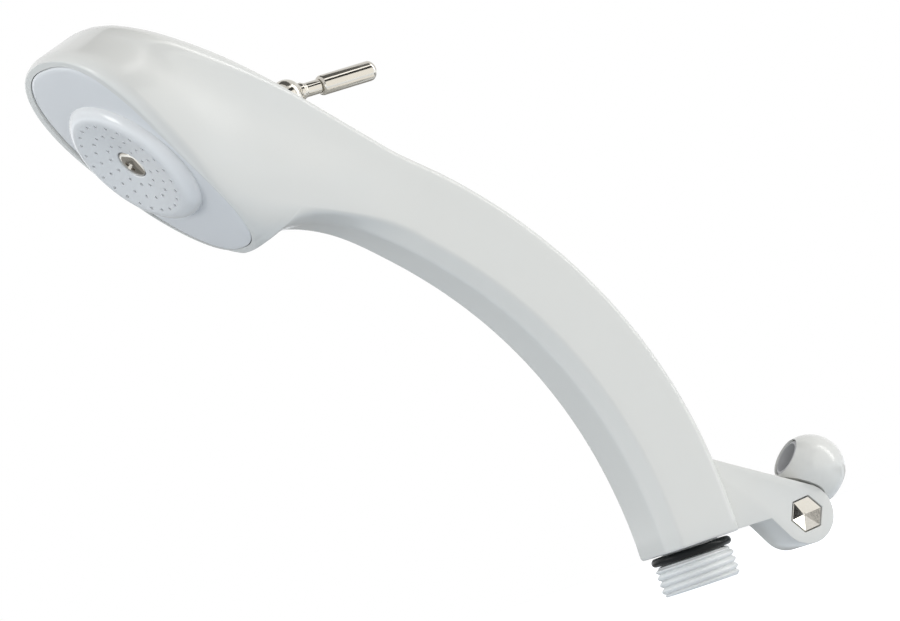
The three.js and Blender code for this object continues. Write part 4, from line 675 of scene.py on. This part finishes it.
def tangent_angle(y, z, turn):
    """Where round the lug's end a straight edge from (y, z) meets it, on the side of the turn."""
    dy, dz = y - pivot_y, z - pivot_z
    return math.atan2(dz, dy) + turn * math.acos(lug_radius / math.hypot(dy, dz))


under = tangent_angle(lug_corner, arm_foot, 1)
over = tangent_angle(arm_depth / 2, lug_top, -1)
if under > 0:
    under -= 2 * math.pi
lug_outline = [(lug_root, arm_foot + 0.4), (lug_corner, arm_foot)]
for i in range(lug_steps + 1):
    turn = lerp(under, over, i / lug_steps)
    lug_outline.append((pivot_y + lug_radius * math.cos(turn),
                        pivot_z + lug_radius * math.sin(turn)))
lug_outline += [(arm_depth / 2, lug_top), (lug_root, lug_top + 4.0)]


def across(points, low, high):
    """A solid with the given (y, z) outline, in millimetres, that runs along X from low to high."""
    mesh = bmesh.new()
    ends = [[mesh.verts.new(Vector((x, y, z)) * MM) for y, z in points] for x in (low, high)]
    mesh.faces.new(ends[0])
    mesh.faces.new(reversed(ends[1]))
    count = len(points)
    for i in range(count):
        j = (i + 1) % count
        mesh.faces.new((ends[0][i], ends[1][i], ends[1][j], ends[0][j]))
    bmesh.ops.recalc_face_normals(mesh, faces=mesh.faces)
    return mesh


def round_outline(radius, y, z, sides=64, turn=0.0):
    """The corners of a regular outline about (y, z), the first of them at the turn."""
    turns = [turn + 2 * math.pi * i / sides for i in range(sides)]
    return [(y + radius * math.cos(a), z + radius * math.sin(a)) for a in turns]


def carved(mesh, cutters, keep="DIFFERENCE"):
    """The bmesh after exact boolean cuts by the other bmeshes."""
    def held(part, name):
        data = bpy.data.meshes.new(name)
        part.to_mesh(data)
        part.free()
        holder = bpy.data.objects.new(name, data)
        scene.collection.objects.link(holder)
        return holder

    work = held(mesh, "work")
    tools = [held(cutter, "cutter") for cutter in cutters]
    for tool in tools:
        cut = work.modifiers.new("cut", "BOOLEAN")
        cut.operation, cut.object, cut.solver = keep, tool, "EXACT"
    done = bmesh.new()
    done.from_object(work, bpy.context.evaluated_depsgraph_get())
    for holder in (work, *tools):
        data = holder.data
        bpy.data.objects.remove(holder)
        bpy.data.meshes.remove(data)
    return done


hex_outline = round_outline(hex_flats / math.sqrt(3.0), pivot_y, pivot_z, 6, hex_turn)
slot_outline = [(pivot_y - slot_radius, pivot_z), (pivot_y - slot_radius, pivot_z + past_top),
                (pivot_y + past_end, pivot_z + past_top),
                (pivot_y + past_end, pivot_z - slot_radius), (pivot_y, pivot_z - slot_radius)]
for turn in [math.radians(degrees) for degrees in range(-90, -180, -10)]:
    slot_outline.append((pivot_y + slot_radius * math.cos(turn),
                         pivot_z + slot_radius * math.sin(turn)))
lug = carved(across(lug_outline, -lug_half, lug_half), [
    across(slot_outline, -slot_half, slot_half),
    across(round_outline(bolt_hole, pivot_y, pivot_z), -right_through, right_through),
    across(hex_outline, lug_half - pocket, right_through),
    across(hex_outline, -right_through, -lug_half + pocket),
])
bmesh.ops.dissolve_limit(lug, angle_limit=math.radians(0.5), verts=lug.verts, edges=lug.edges)
crisp_edges = [e for e in lug.edges
               if len(e.link_faces) == 2 and e.calc_face_angle(0.0) > math.radians(30.0)]
bmesh.ops.bevel(lug, geom=crisp_edges, offset=lug_ease * MM, segments=3, profile=0.5,
                affect="EDGES", clamp_overlap=True)
join_in(shell, lug)
finished_piece("moulded_body", shell, glossy_white, "handset", ("body",), sharp=32.0)

# ---------------------------------------------------------------- face plate
# A thin domed plate that lies in the head's recess with a narrow even gap all round, its edge
# rounded over.
# It is glossy white, coloured a touch lighter and bluer than the body, and drops in from the front.

plate_white = finish_of(
    "plate_white_moulding", (0.72, 0.725, 0.73), (0.70, 0.71, 0.72), (0.80, 0.80, 0.80),
    (0.18, 0.24), (800.0, 0.6, 0.04), coat=0.15, edge_amount=0.3, mark_scale=60.0, specular=0.4)
rose_offset, rose_hole = 1.7, 18.5
plate_gap, plate_thick, plate_proud, plate_ease = 0.2, 2.0, 0.45, 0.3
plate_round, plate_fall = 1.8, 0.4
plate_sides, plate_steps, under_steps = 192, 8, 4
edge_turn, past_edge = math.radians(80.0), 60.0


def oval_reach(oval, turn, centre_y, grow):
    """How far a ray from (0, centre_y) at the angle runs before it meets the grown oval."""
    low, high = 0.0, past_edge
    for _ in range(36):
        middle = (low + high) / 2
        x, y = middle * math.cos(turn), centre_y + middle * math.sin(turn)
        if abs(x) < oval_half(y, oval, grow):
            low = middle
        else:
            high = middle
    return low


def on_plate(ray, reach, drop):
    """The place so far along the ray from the rose's middle and so far under the plate's dome."""
    x, y = ray.x * reach, rose_offset + ray.y * reach
    return face_frame @ Vector((x, y, dome_height(x, y) + plate_proud - drop))


plate = bmesh.new()
plate_rows = []
for i in range(plate_sides + 1):
    turn = 2 * math.pi * i / plate_sides
    ray = Vector((math.cos(turn), math.sin(turn)))
    edge = oval_reach(seam, turn, rose_offset, -plate_gap)
    outline = [(lerp(rose_hole, edge - plate_round, k / plate_steps), 0.0)
               for k in range(plate_steps + 1)]
    for k in range(1, plate_steps + 1):
        tip = edge_turn * k / plate_steps
        outline.append((edge - plate_round * (1.0 - math.sin(tip)),
                        plate_fall * (1.0 - math.cos(tip))))
    outline += [(edge, plate_thick - plate_ease), (edge - plate_ease, plate_thick)]
    outline += [(lerp(edge - plate_ease, rose_hole, k / under_steps), plate_thick)
                for k in range(1, under_steps + 1)]
    row = [on_plate(ray, reach, drop) for reach, drop in outline]
    plate_rows.append(row + row[:1])
sheet_mesh(plate, plate_rows)
closed_up(plate, 0.000005)
finished_piece("domed_face_plate", plate, plate_white, "handset", ("face_plate",),
               sharp=40.0)

# ---------------------------------------------------------------- rose
# The raised round spray face: a dished disc with a rolled shoulder, three rings of small nozzles
# and a seat for the screw at its centre. On the real rose the nozzles run through and its spigot
# enters the spray chamber; here the nozzles are shallow pits and no spigot is drawn.


def lathe(profile, sides=128, close=False):
    """A bmesh turned about Z from (radius, height) pairs in millimetres."""
    mesh = bmesh.new()
    turns = [2 * math.pi * i / sides for i in range(sides)]
    rings = []
    for radius, height in profile:
        if radius < 1e-6:
            rings.append([mesh.verts.new(Vector((0.0, 0.0, height)) * MM)])
            continue
        rings.append([mesh.verts.new(Vector((radius * math.cos(turn), radius * math.sin(turn),
                                             height)) * MM) for turn in turns])
    pairs = list(zip(rings, rings[1:])) + ([(rings[-1], rings[0])] if close else [])
    for lower, upper in pairs:
        for i in range(sides):
            j = (i + 1) % sides
            corners = [lower[i % len(lower)], lower[j % len(lower)],
                       upper[j % len(upper)], upper[i % len(upper)]]
            face = list(dict.fromkeys(corners))
            if len(face) > 2:
                mesh.faces.new(face)
    bmesh.ops.recalc_face_normals(mesh, faces=mesh.faces)
    return mesh


def moved(mesh, matrix):
    """The bmesh carried to a place given in millimetres."""
    metres = matrix.copy()
    metres.translation *= MM
    mesh.transform(metres)
    return mesh


rose_face, rose_base, rose_height, rose_dish = 16.2, 20.4, 3.1, 1.9
rose_proud, rose_bead, shoulder_drop = 0.5, 1.2, 0.6
screw_hole, seat_ease = 4.4, 0.25
rose_steps, shoulder_steps = 11, 18
nozzle_radius, nozzle_mouth, nozzle_depth = 0.50, 0.54, 0.8
nozzle_rings = ((15.1, 24), (11.1, 18), (7.1, 12))
rose_middle = face_frame @ Vector((0.0, rose_offset, dome_height(rose_base, 0.0) + rose_proud))
rose_frame = placed_frame(rose_middle.y, rose_middle.z, 120.0)


def rose_top(radius):
    """The height of the rose's dished face at the radius."""
    return rose_height - rose_dish * (1.0 - radius / rose_face)


rose_profile = [(screw_hole, -1.4), (screw_hole, rose_top(screw_hole) - seat_ease)]
for i in range(rose_steps + 1):
    reach = lerp(screw_hole + seat_ease, rose_face - rose_bead, i / rose_steps)
    rose_profile.append((reach, rose_top(reach)))
for i in range(shoulder_steps + 1):
    turn = math.pi / 2 * i / shoulder_steps
    rose_profile.append((rose_face + (rose_base - rose_face) * math.sin(turn),
                         (rose_height + shoulder_drop) * math.cos(turn) - shoulder_drop))
rose_profile += [(rose_base - 0.2, -1.0), (rose_base - 1.6, -1.6), (screw_hole, -1.6)]
nozzle_cutter = bmesh.new()
for radius, count in nozzle_rings:
    foot_height, mouth_height = rose_top(radius) - nozzle_depth, rose_top(radius) + 1.0
    for i in range(count):
        turn = 2 * math.pi * i / count
        place = Matrix.Translation((radius * math.cos(turn), radius * math.sin(turn), 0.0))
        nozzle = lathe([(0.0, foot_height), (nozzle_radius, foot_height),
                        (nozzle_mouth, mouth_height), (0.0, mouth_height)], sides=16)
        join_in(nozzle_cutter, moved(nozzle, place))
rose_shape = moved(carved(lathe(rose_profile, sides=144), [nozzle_cutter]), rose_frame)
rose_white = finish_of(
    "rose_white_moulding", (0.74, 0.745, 0.745), (0.72, 0.73, 0.735), (0.80, 0.80, 0.80),
    (0.15, 0.22), (700.0, 0.5, 0.04), coat=0.4, edge_amount=0.3, mark_scale=60.0)
finished_piece("spray_rose", rose_shape, rose_white, "handset", ("rose",),
               sharp=38.0)

# ---------------------------------------------------------------- central screw
# A domed chromed steel screw with a cross recess. It pulls the rose down on to the spray
# chamber's brass insert and is the one fixing that a user undoes to clean the nozzles.

bright_chrome = finish_of(
    "bright_chrome", (0.59, 0.562, 0.508), (0.54, 0.516, 0.467), (0.72, 0.70, 0.65),
    (0.07, 0.16), (1500.0, 0.3, 0.04), metallic=1.0, edge_amount=0.6, drift_scale=160.0,
    mark_scale=300.0)
screw_edge = rose_top(screw_hole) - 0.3
screw_shank, screw_head, screw_neck = 1.8, 4.1, 4.05
dome_edge, dome_lift, dome_bow = 78.0, 1.15, 0.25
screw_profile = [(0.0, -9.5), (screw_shank, -9.5), (screw_shank, screw_edge - 1.2),
                 (4.0, screw_edge - 1.2), (screw_head, screw_edge - 1.0),
                 (screw_head, screw_edge - 0.15)]
for i in range(13):
    turn = math.radians(lerp(dome_edge, 0.0, i / 12.0))
    lift = dome_lift * math.cos(turn) * (1.0 - dome_bow * math.sin(turn))
    screw_profile.append((screw_neck * math.sin(turn) / math.sin(math.radians(dome_edge)),
                          screw_edge + lift - 0.15))
screw_shape = lathe(screw_profile, 96)
cross_long, cross_wide, cross_tall, cross_sink, cross_turn = 3.8, 1.0, 1.6, 0.5, 20.0
foot_long, foot_wide = 0.45, 0.7
cross_place = Matrix.Translation((0.0, 0.0, screw_profile[-1][1] - cross_sink))
cross = []
for quarter in (0.0, 90.0):
    arm = bmesh.new()
    bmesh.ops.create_cube(arm, size=1.0)
    bmesh.ops.scale(arm, vec=(cross_long * MM, cross_wide * MM, cross_tall * MM), verts=arm.verts)
    for v in arm.verts:
        if v.co.z < 0:
            v.co.x *= foot_long
            v.co.y *= foot_wide
    arm_turn = Matrix.Rotation(math.radians(quarter + cross_turn), 3, "Z")
    bmesh.ops.rotate(arm, matrix=arm_turn, verts=arm.verts)
    cross.append(moved(arm, cross_place))
screw_shape = moved(carved(screw_shape, cross), rose_frame)
finished_piece("centre_screw", screw_shape, bright_chrome, "handset", ("central_screw",),
               sharp=32.0)

# ---------------------------------------------------------------- lever
# The flow lever: a chromed ball on the valve's spindle, a short rod screwed into it and a round
# ended grip pressed on the rod. Turning it a quarter turn opens and shuts the valve.


def softened(profile, size, steps=4):
    """The profile with each of its corners rounded by up to the size."""
    points = [Vector(p) for p in profile]
    out = [tuple(points[0])]
    for before, corner, after in zip(points, points[1:], points[2:]):
        one = min(size, (before - corner).length * 0.45)
        two = min(size, (after - corner).length * 0.45)
        start = corner + (before - corner).normalized() * one
        end = corner + (after - corner).normalized() * two
        out += [tuple(bend(start, corner, end, i / steps)) for i in range(steps + 1)]
    out.append(tuple(points[-1]))
    return out


lever_place = joint_place("lever_turn") / MM
valve_frame = placed_frame(lever_place.y, lever_place.z, -41.0)
lever_frame = valve_frame @ Matrix.Rotation(math.radians(-50.0), 4, "X")
ball_radius, spindle_radius, groove_half, groove_depth = 4.3, 3.0, 0.9, 0.7
ball_profile = [(0.0, -11.8), (spindle_radius - 0.2, -11.8), (spindle_radius, -11.6)]
for groove in (-9.0, -6.4):
    ball_profile += [(spindle_radius, groove - groove_half),
                     (spindle_radius - groove_depth, groove - groove_half),
                     (spindle_radius - groove_depth, groove + groove_half),
                     (spindle_radius, groove + groove_half)]
ball_start = math.asin(spindle_radius / ball_radius)
for i in range(33):
    turn = lerp(ball_start, math.pi, i / 32.0)
    ball_profile.append((ball_radius * math.sin(turn), -ball_radius * math.cos(turn)))
finished_piece("lever_ball", moved(lathe(ball_profile, 96), valve_frame), bright_chrome, "lever",
               ("lever_spindle",))
rod_profile = softened([(0.0, 3.6), (2.35, 3.6), (2.35, 4.75), (2.05, 5.0), (2.05, 5.4),
                        (1.9, 5.6), (1.9, 9.9), (1.2, 9.9), (1.2, 16.2), (0.0, 16.2)], 0.25)
finished_piece("lever_rod_and_collar", moved(lathe(rod_profile, 72), lever_frame), bright_chrome,
               "lever", ("lever_rod",))
grip_bore, grip_radius, grip_end, grip_dome = 1.5, 2.65, 24.6, 2.0
grip_profile = [(0.0, 16.5), (grip_bore, 16.5), (grip_bore, 9.95)]
grip_profile += softened([(grip_bore, 9.95), (2.3, 9.95), (grip_radius, 10.5),
                          (grip_radius, grip_end)], 0.3)[1:-1]
grip_profile.append((grip_radius, grip_end))
for i in range(1, 15):
    turn = math.pi / 28.0 * i
    grip_profile.append((grip_radius * math.cos(turn), 24.7 + grip_dome * math.sin(turn)))
finished_piece("lever_grip_sleeve", moved(lathe(grip_profile, 96), lever_frame), bright_chrome,
               "lever", ("lever_grip",))

# ---------------------------------------------------------------- bonnet
# A chromed brass collar that screws the valve's spindle down into the head's back. Its dished
# top is turned to follow the ball above it.

bonnet_bore, bonnet_top, dish_radius = 3.3, -1.6, 4.6
bonnet_profile = [(bonnet_bore, -10.4), (5.2, -10.4), (5.2, -3.3), (6.8, -3.3),
                  (6.8, bonnet_top - 0.5), (6.3, bonnet_top)]
dish_foot = -math.sqrt(dish_radius ** 2 - bonnet_bore ** 2)
for i in range(9):
    height = lerp(bonnet_top, dish_foot, i / 8.0)
    bonnet_profile.append((math.sqrt(dish_radius ** 2 - height ** 2), height))
finished_piece("valve_bonnet", moved(lathe(bonnet_profile, 96, close=True), valve_frame),
               bright_chrome, "handset", ("bonnet",))

# ---------------------------------------------------------------- hose spigot
# The threaded stub that the hose's nut is screwed on to, moulded in white acetal with a G 1/2
# thread. Its barrel is cemented in the arm's foot and its tail carries the water tube.

thread_radius, thread_depth, thread_pitch, thread_end = 10.48, 1.0, 1.814, 7.8
thread_lead, thread_start, thread_fullness, thread_steps, thread_sides = 0.9, 0.3, 0.8, 86, 144
spigot = bmesh.new()
thread_rows = []
for i in range(thread_steps + 1):
    height = thread_end * i / thread_steps
    row = []
    for k in range(thread_sides + 1):
        turn = 2 * math.pi * k / thread_sides
        phase = (height / thread_pitch - k / thread_sides + thread_start) % 1.0
        ridge = math.sin(math.pi * phase) ** thread_fullness
        radius = thread_radius - thread_depth * (1.0 - ridge)
        runout = ease(height, thread_end - thread_lead, thread_end)
        radius = lerp(radius, thread_radius - thread_depth, runout)
        radius = min(radius, thread_radius - thread_lead + height)
        row.append(Vector((radius * math.cos(turn), radius * math.sin(turn), height)))
    thread_rows.append(row)
sheet_mesh(spigot, thread_rows)
barrel_profile = [(thread_radius - thread_depth, thread_end), (8.2, thread_end + 0.4), (8.2, 10.5),
                  (7.5, 10.5), (7.5, 16.9), (6.3, 16.9), (6.3, 19.1), (7.5, 19.1), (7.5, 24.0),
                  (3.6, 24.0), (3.6, 32.0), (2.6, 32.0), (2.6, 4.6), (7.2, 4.6), (7.2, 0.3),
                  (7.5, 0.0), (thread_radius - thread_lead - 0.01, 0.0)]
join_in(spigot, lathe(barrel_profile, thread_sides))
closed_up(spigot, 0.00002)
spigot_white = finish_of(
    "spigot_acetal", (0.76, 0.77, 0.76), (0.73, 0.74, 0.74), (0.82, 0.82, 0.815),
    (0.3, 0.4), (1200.0, 0.3, 0.06), edge_amount=0.6, drift_scale=120.0)
finished_piece("threaded_spigot", spigot, spigot_white, "handset", ("hose_spigot",),
               sharp=50.0)

# ---------------------------------------------------------------- collar ring
# A black rubber ring that is stretched over the spigot's neck and sits against the arm's foot.
# The hose nut's rim closes on it, so it is a little flattened and dull.

ring_reach, ring_height, ring_wide, ring_tall, ring_sides = 9.65, 9.3, 1.15, 1.12, 24
ring_profile = []
for i in range(ring_sides):
    around = 2 * math.pi * i / ring_sides
    ring_profile.append((ring_reach + ring_wide * math.cos(around),
                         ring_height + ring_tall * math.sin(around)))
black_rubber = finish_of(
    "black_rubber", (0.005, 0.0065, 0.0065), (0.007, 0.008, 0.009), (0.03, 0.032, 0.034),
    (0.2, 0.35), (2200.0, 0.2, 0.12), edge_amount=0.3, drift_scale=150.0, specular=0.14)
finished_piece("foot_ring", lathe(ring_profile, close=True), black_rubber, "handset",
               ("collar_ring",))

# ---------------------------------------------------------------- ball eye
# The bead that slides on the riser cord: a white moulded ball with a round bore, on a flat tongue
# that the pivot bolt clamps between the bracket's two ears.

eye_radius, eye_reach, eye_angle = 9.2, 13.37, math.radians(51.0)
tongue_half, tongue_radius, stem_half, bore_radius = 1.8, 6.0, 3.5, 5.1
lug_clearance, ball_steps = 1.04, 64
along_stem = Vector((math.cos(eye_angle), math.sin(eye_angle)))
beside_stem = Vector((math.sin(eye_angle), -math.cos(eye_angle)))
eye_frame = placed_frame(pivot_y + eye_reach * math.cos(eye_angle),
                         pivot_z + eye_reach * math.sin(eye_angle), 137.4 - 90.0)
eye_profile = []
for i in range(ball_steps + 1):
    turn = math.pi * i / ball_steps
    eye_profile.append((eye_radius * math.sin(turn), -eye_radius * math.cos(turn)))
eye_shape = moved(lathe(eye_profile), eye_frame)
# The ball is hollowed where the lug's ears would meet it, over the upper end of its travel.
swept_lug = []
for lift in (0.0, -4.0, -8.0):
    swing = Matrix.Rotation(math.radians(lift), 2)
    swung = [swing @ Vector((y - pivot_y, z - pivot_z)) * lug_clearance for y, z in lug_outline]
    swept_lug.append(across([(pivot_y + p.x, pivot_z + p.y) for p in swung],
                            -right_through, right_through))
eye_shape = carved(eye_shape, swept_lug)
stem_foot = Vector((pivot_y, pivot_z))
stem = [stem_foot + beside_stem * stem_half,
        stem_foot + along_stem * eye_reach + beside_stem * stem_half,
        stem_foot + along_stem * eye_reach - beside_stem * stem_half,
        stem_foot - beside_stem * stem_half]
eye_shape = carved(eye_shape, [
    across(round_outline(tongue_radius, pivot_y, pivot_z, 96), -tongue_half, tongue_half),
    across([(p.x, p.y) for p in stem], -tongue_half, tongue_half)], keep="UNION")
bore_cut = lathe([(0.0, -right_through), (bore_radius, -right_through),
                  (bore_radius, right_through), (0.0, right_through)])
bolt_cut = across(round_outline(bolt_hole, pivot_y, pivot_z), -right_through, right_through)
eye_shape = carved(eye_shape, [moved(bore_cut, eye_frame), bolt_cut])
finished_piece("slide_eye", eye_shape, glossy_white, "eye", ("ball_eye",),
               sharp=32.0)

# ---------------------------------------------------------------- rail sleeve
# The grey liner pressed into the ball's bore. It grips the riser cord softly and wears in place
# of the ball.

sleeve_outer, sleeve_inner, sleeve_reach = 5.0, 4.0, 8.6


def mouth(radius):
    """How far from the ball's middle the sleeve ends, flush with the ball, at the radius."""
    return math.sqrt(sleeve_reach ** 2 - radius ** 2)


sleeve_profile = softened([
    (sleeve_inner, 0.0), (sleeve_inner, mouth(sleeve_inner)), (sleeve_outer, mouth(sleeve_outer)),
    (sleeve_outer, -mouth(sleeve_outer)), (sleeve_inner, -mouth(sleeve_inner)),
    (sleeve_inner, 0.0)], 0.3)
liner_grey = finish_of(
    "liner_grey", (0.48, 0.48, 0.485), (0.44, 0.44, 0.45), (0.50, 0.50, 0.50),
    (0.4, 0.55), (1400.0, 0.3, 0.1), edge_amount=0.5, drift_scale=180.0)
finished_piece("bore_liner", moved(lathe(sleeve_profile, 96), eye_frame), liner_grey, "eye",
               ("rail_sleeve",))

# ---------------------------------------------------------------- pivot bolt and nut
# The steel bolt that clamps the eye's tongue. Its six-sided head sits in a pocket of the near
# ear, with a shallow six-faced dish pressed in its top; the nut sits in the far ear's pocket.

bright_steel = finish_of(
    "bright_steel", (0.64, 0.62, 0.575), (0.57, 0.55, 0.51), (0.74, 0.72, 0.69),
    (0.1, 0.22), (1300.0, 0.3, 0.05), metallic=1.0, edge_amount=0.7, drift_scale=200.0,
    mark_scale=320.0)
head_flats, head_foot, head_sink, head_ease, head_lip = 8.0, 2.2, 0.2, 0.15, 0.22
across_corners = head_flats / math.sqrt(3.0)


def hexagon_head(low, high, dish, hub):
    """A six-sided head along X with chamfered rim and a six-faced dish round a small dimple."""
    mesh = bmesh.new()
    outward = 1.0 if high > low else -1.0
    levels = [(low, across_corners), (high - head_ease * outward, across_corners),
              (high, across_corners - head_ease), (high, across_corners - head_lip),
              (high - dish * outward, hub), (high - (dish + 0.15) * outward, hub * 0.8)]
    rings = [[mesh.verts.new(Vector((x, y, z)) * MM)
              for y, z in round_outline(radius, pivot_y, pivot_z, 6, hex_turn)]
             for x, radius in levels]
    for lower, upper in zip(rings, rings[1:]):
        for i in range(6):
            mesh.faces.new((lower[i], lower[(i + 1) % 6], upper[(i + 1) % 6], upper[i]))
    mesh.faces.new(rings[0])
    mesh.faces.new(rings[-1])
    bmesh.ops.recalc_face_normals(mesh, faces=mesh.faces)
    return mesh


bolt_shape = hexagon_head(lug_half - head_foot, lug_half - head_sink, 1.37, 0.5)
shank = across(round_outline(2.4, pivot_y, pivot_z, 48), -lug_half + 0.3, lug_half - 2.05)
bolt_shape = carved(bolt_shape, [shank], keep="UNION")
finished_piece("pivot_bolt_head", bolt_shape, bright_steel, "handset", ("pivot_bolt",),
               sharp=20.0)
nut_shape = hexagon_head(-lug_half + head_foot, -lug_half + head_sink, 0.3, 3.2)
nut_shape = carved(nut_shape, [across(round_outline(2.6, pivot_y, pivot_z, 48), -20.0, 0.0)])
finished_piece("pivot_nut_far", nut_shape, bright_steel, "handset", ("pivot_nut",),
               sharp=30.0)

# ---------------------------------------------------------------- inner pieces
# Everything behind the face plate and inside the arm keeps its working shape: the chamber and its
# screws, the valve, its seals and clip, the water tube, the feed hose and the filter.

satin_white = finish_of(
    "satin_white_acetal", (0.62, 0.64, 0.645), (0.56, 0.585, 0.60), (0.70, 0.70, 0.70),
    (0.35, 0.5), (1000.0, 0.4, 0.12), edge_amount=0.6, drift_scale=110.0)
turned_brass = finish_of(
    "turned_brass", (0.50, 0.36, 0.14), (0.42, 0.29, 0.11), (0.66, 0.52, 0.26),
    (0.22, 0.38), (1800.0, 0.2, 0.15), metallic=1.0, edge_amount=0.7, drift_scale=180.0)
hose_rubber = finish_of(
    "hose_rubber", (0.11, 0.115, 0.12), (0.08, 0.085, 0.09), (0.16, 0.165, 0.17),
    (0.5, 0.65), (1600.0, 0.2, 0.2), edge_amount=0.4, drift_scale=120.0)
seal_grey = finish_of(
    "seal_grey", (0.24, 0.245, 0.25), (0.20, 0.205, 0.21), (0.32, 0.32, 0.33),
    (0.55, 0.7), (1900.0, 0.2, 0.2), edge_amount=0.4, drift_scale=160.0)
tube_white = finish_of(
    "tube_polythene", (0.58, 0.60, 0.60), (0.52, 0.545, 0.55), (0.66, 0.66, 0.66),
    (0.4, 0.55), (900.0, 0.5, 0.1), edge_amount=0.3, drift_scale=70.0)
for material, nodes in (
        (satin_white, ("spray_chamber", "flow_spreader", "inlet_filter")),
        (bright_steel, ("chamber_screw_upper", "chamber_screw_lower", "spindle_clip")),
        (turned_brass, ("screw_insert", "valve_body", "valve_rotor")),
        (black_rubber, ("screw_washer", "rose_gasket", "spindle_ring_upper",
                        "spindle_ring_lower", "spigot_seal")),
        (seal_grey, ("seat_ring_inlet", "seat_ring_outlet", "friction_washer_near",
                     "friction_washer_far")),
        (hose_rubber, ("feed_hose",)),
        (tube_white, ("water_tube",))):
    for node in nodes:
        for held in frame["nodes"][node].material_slots:
            held.material = material
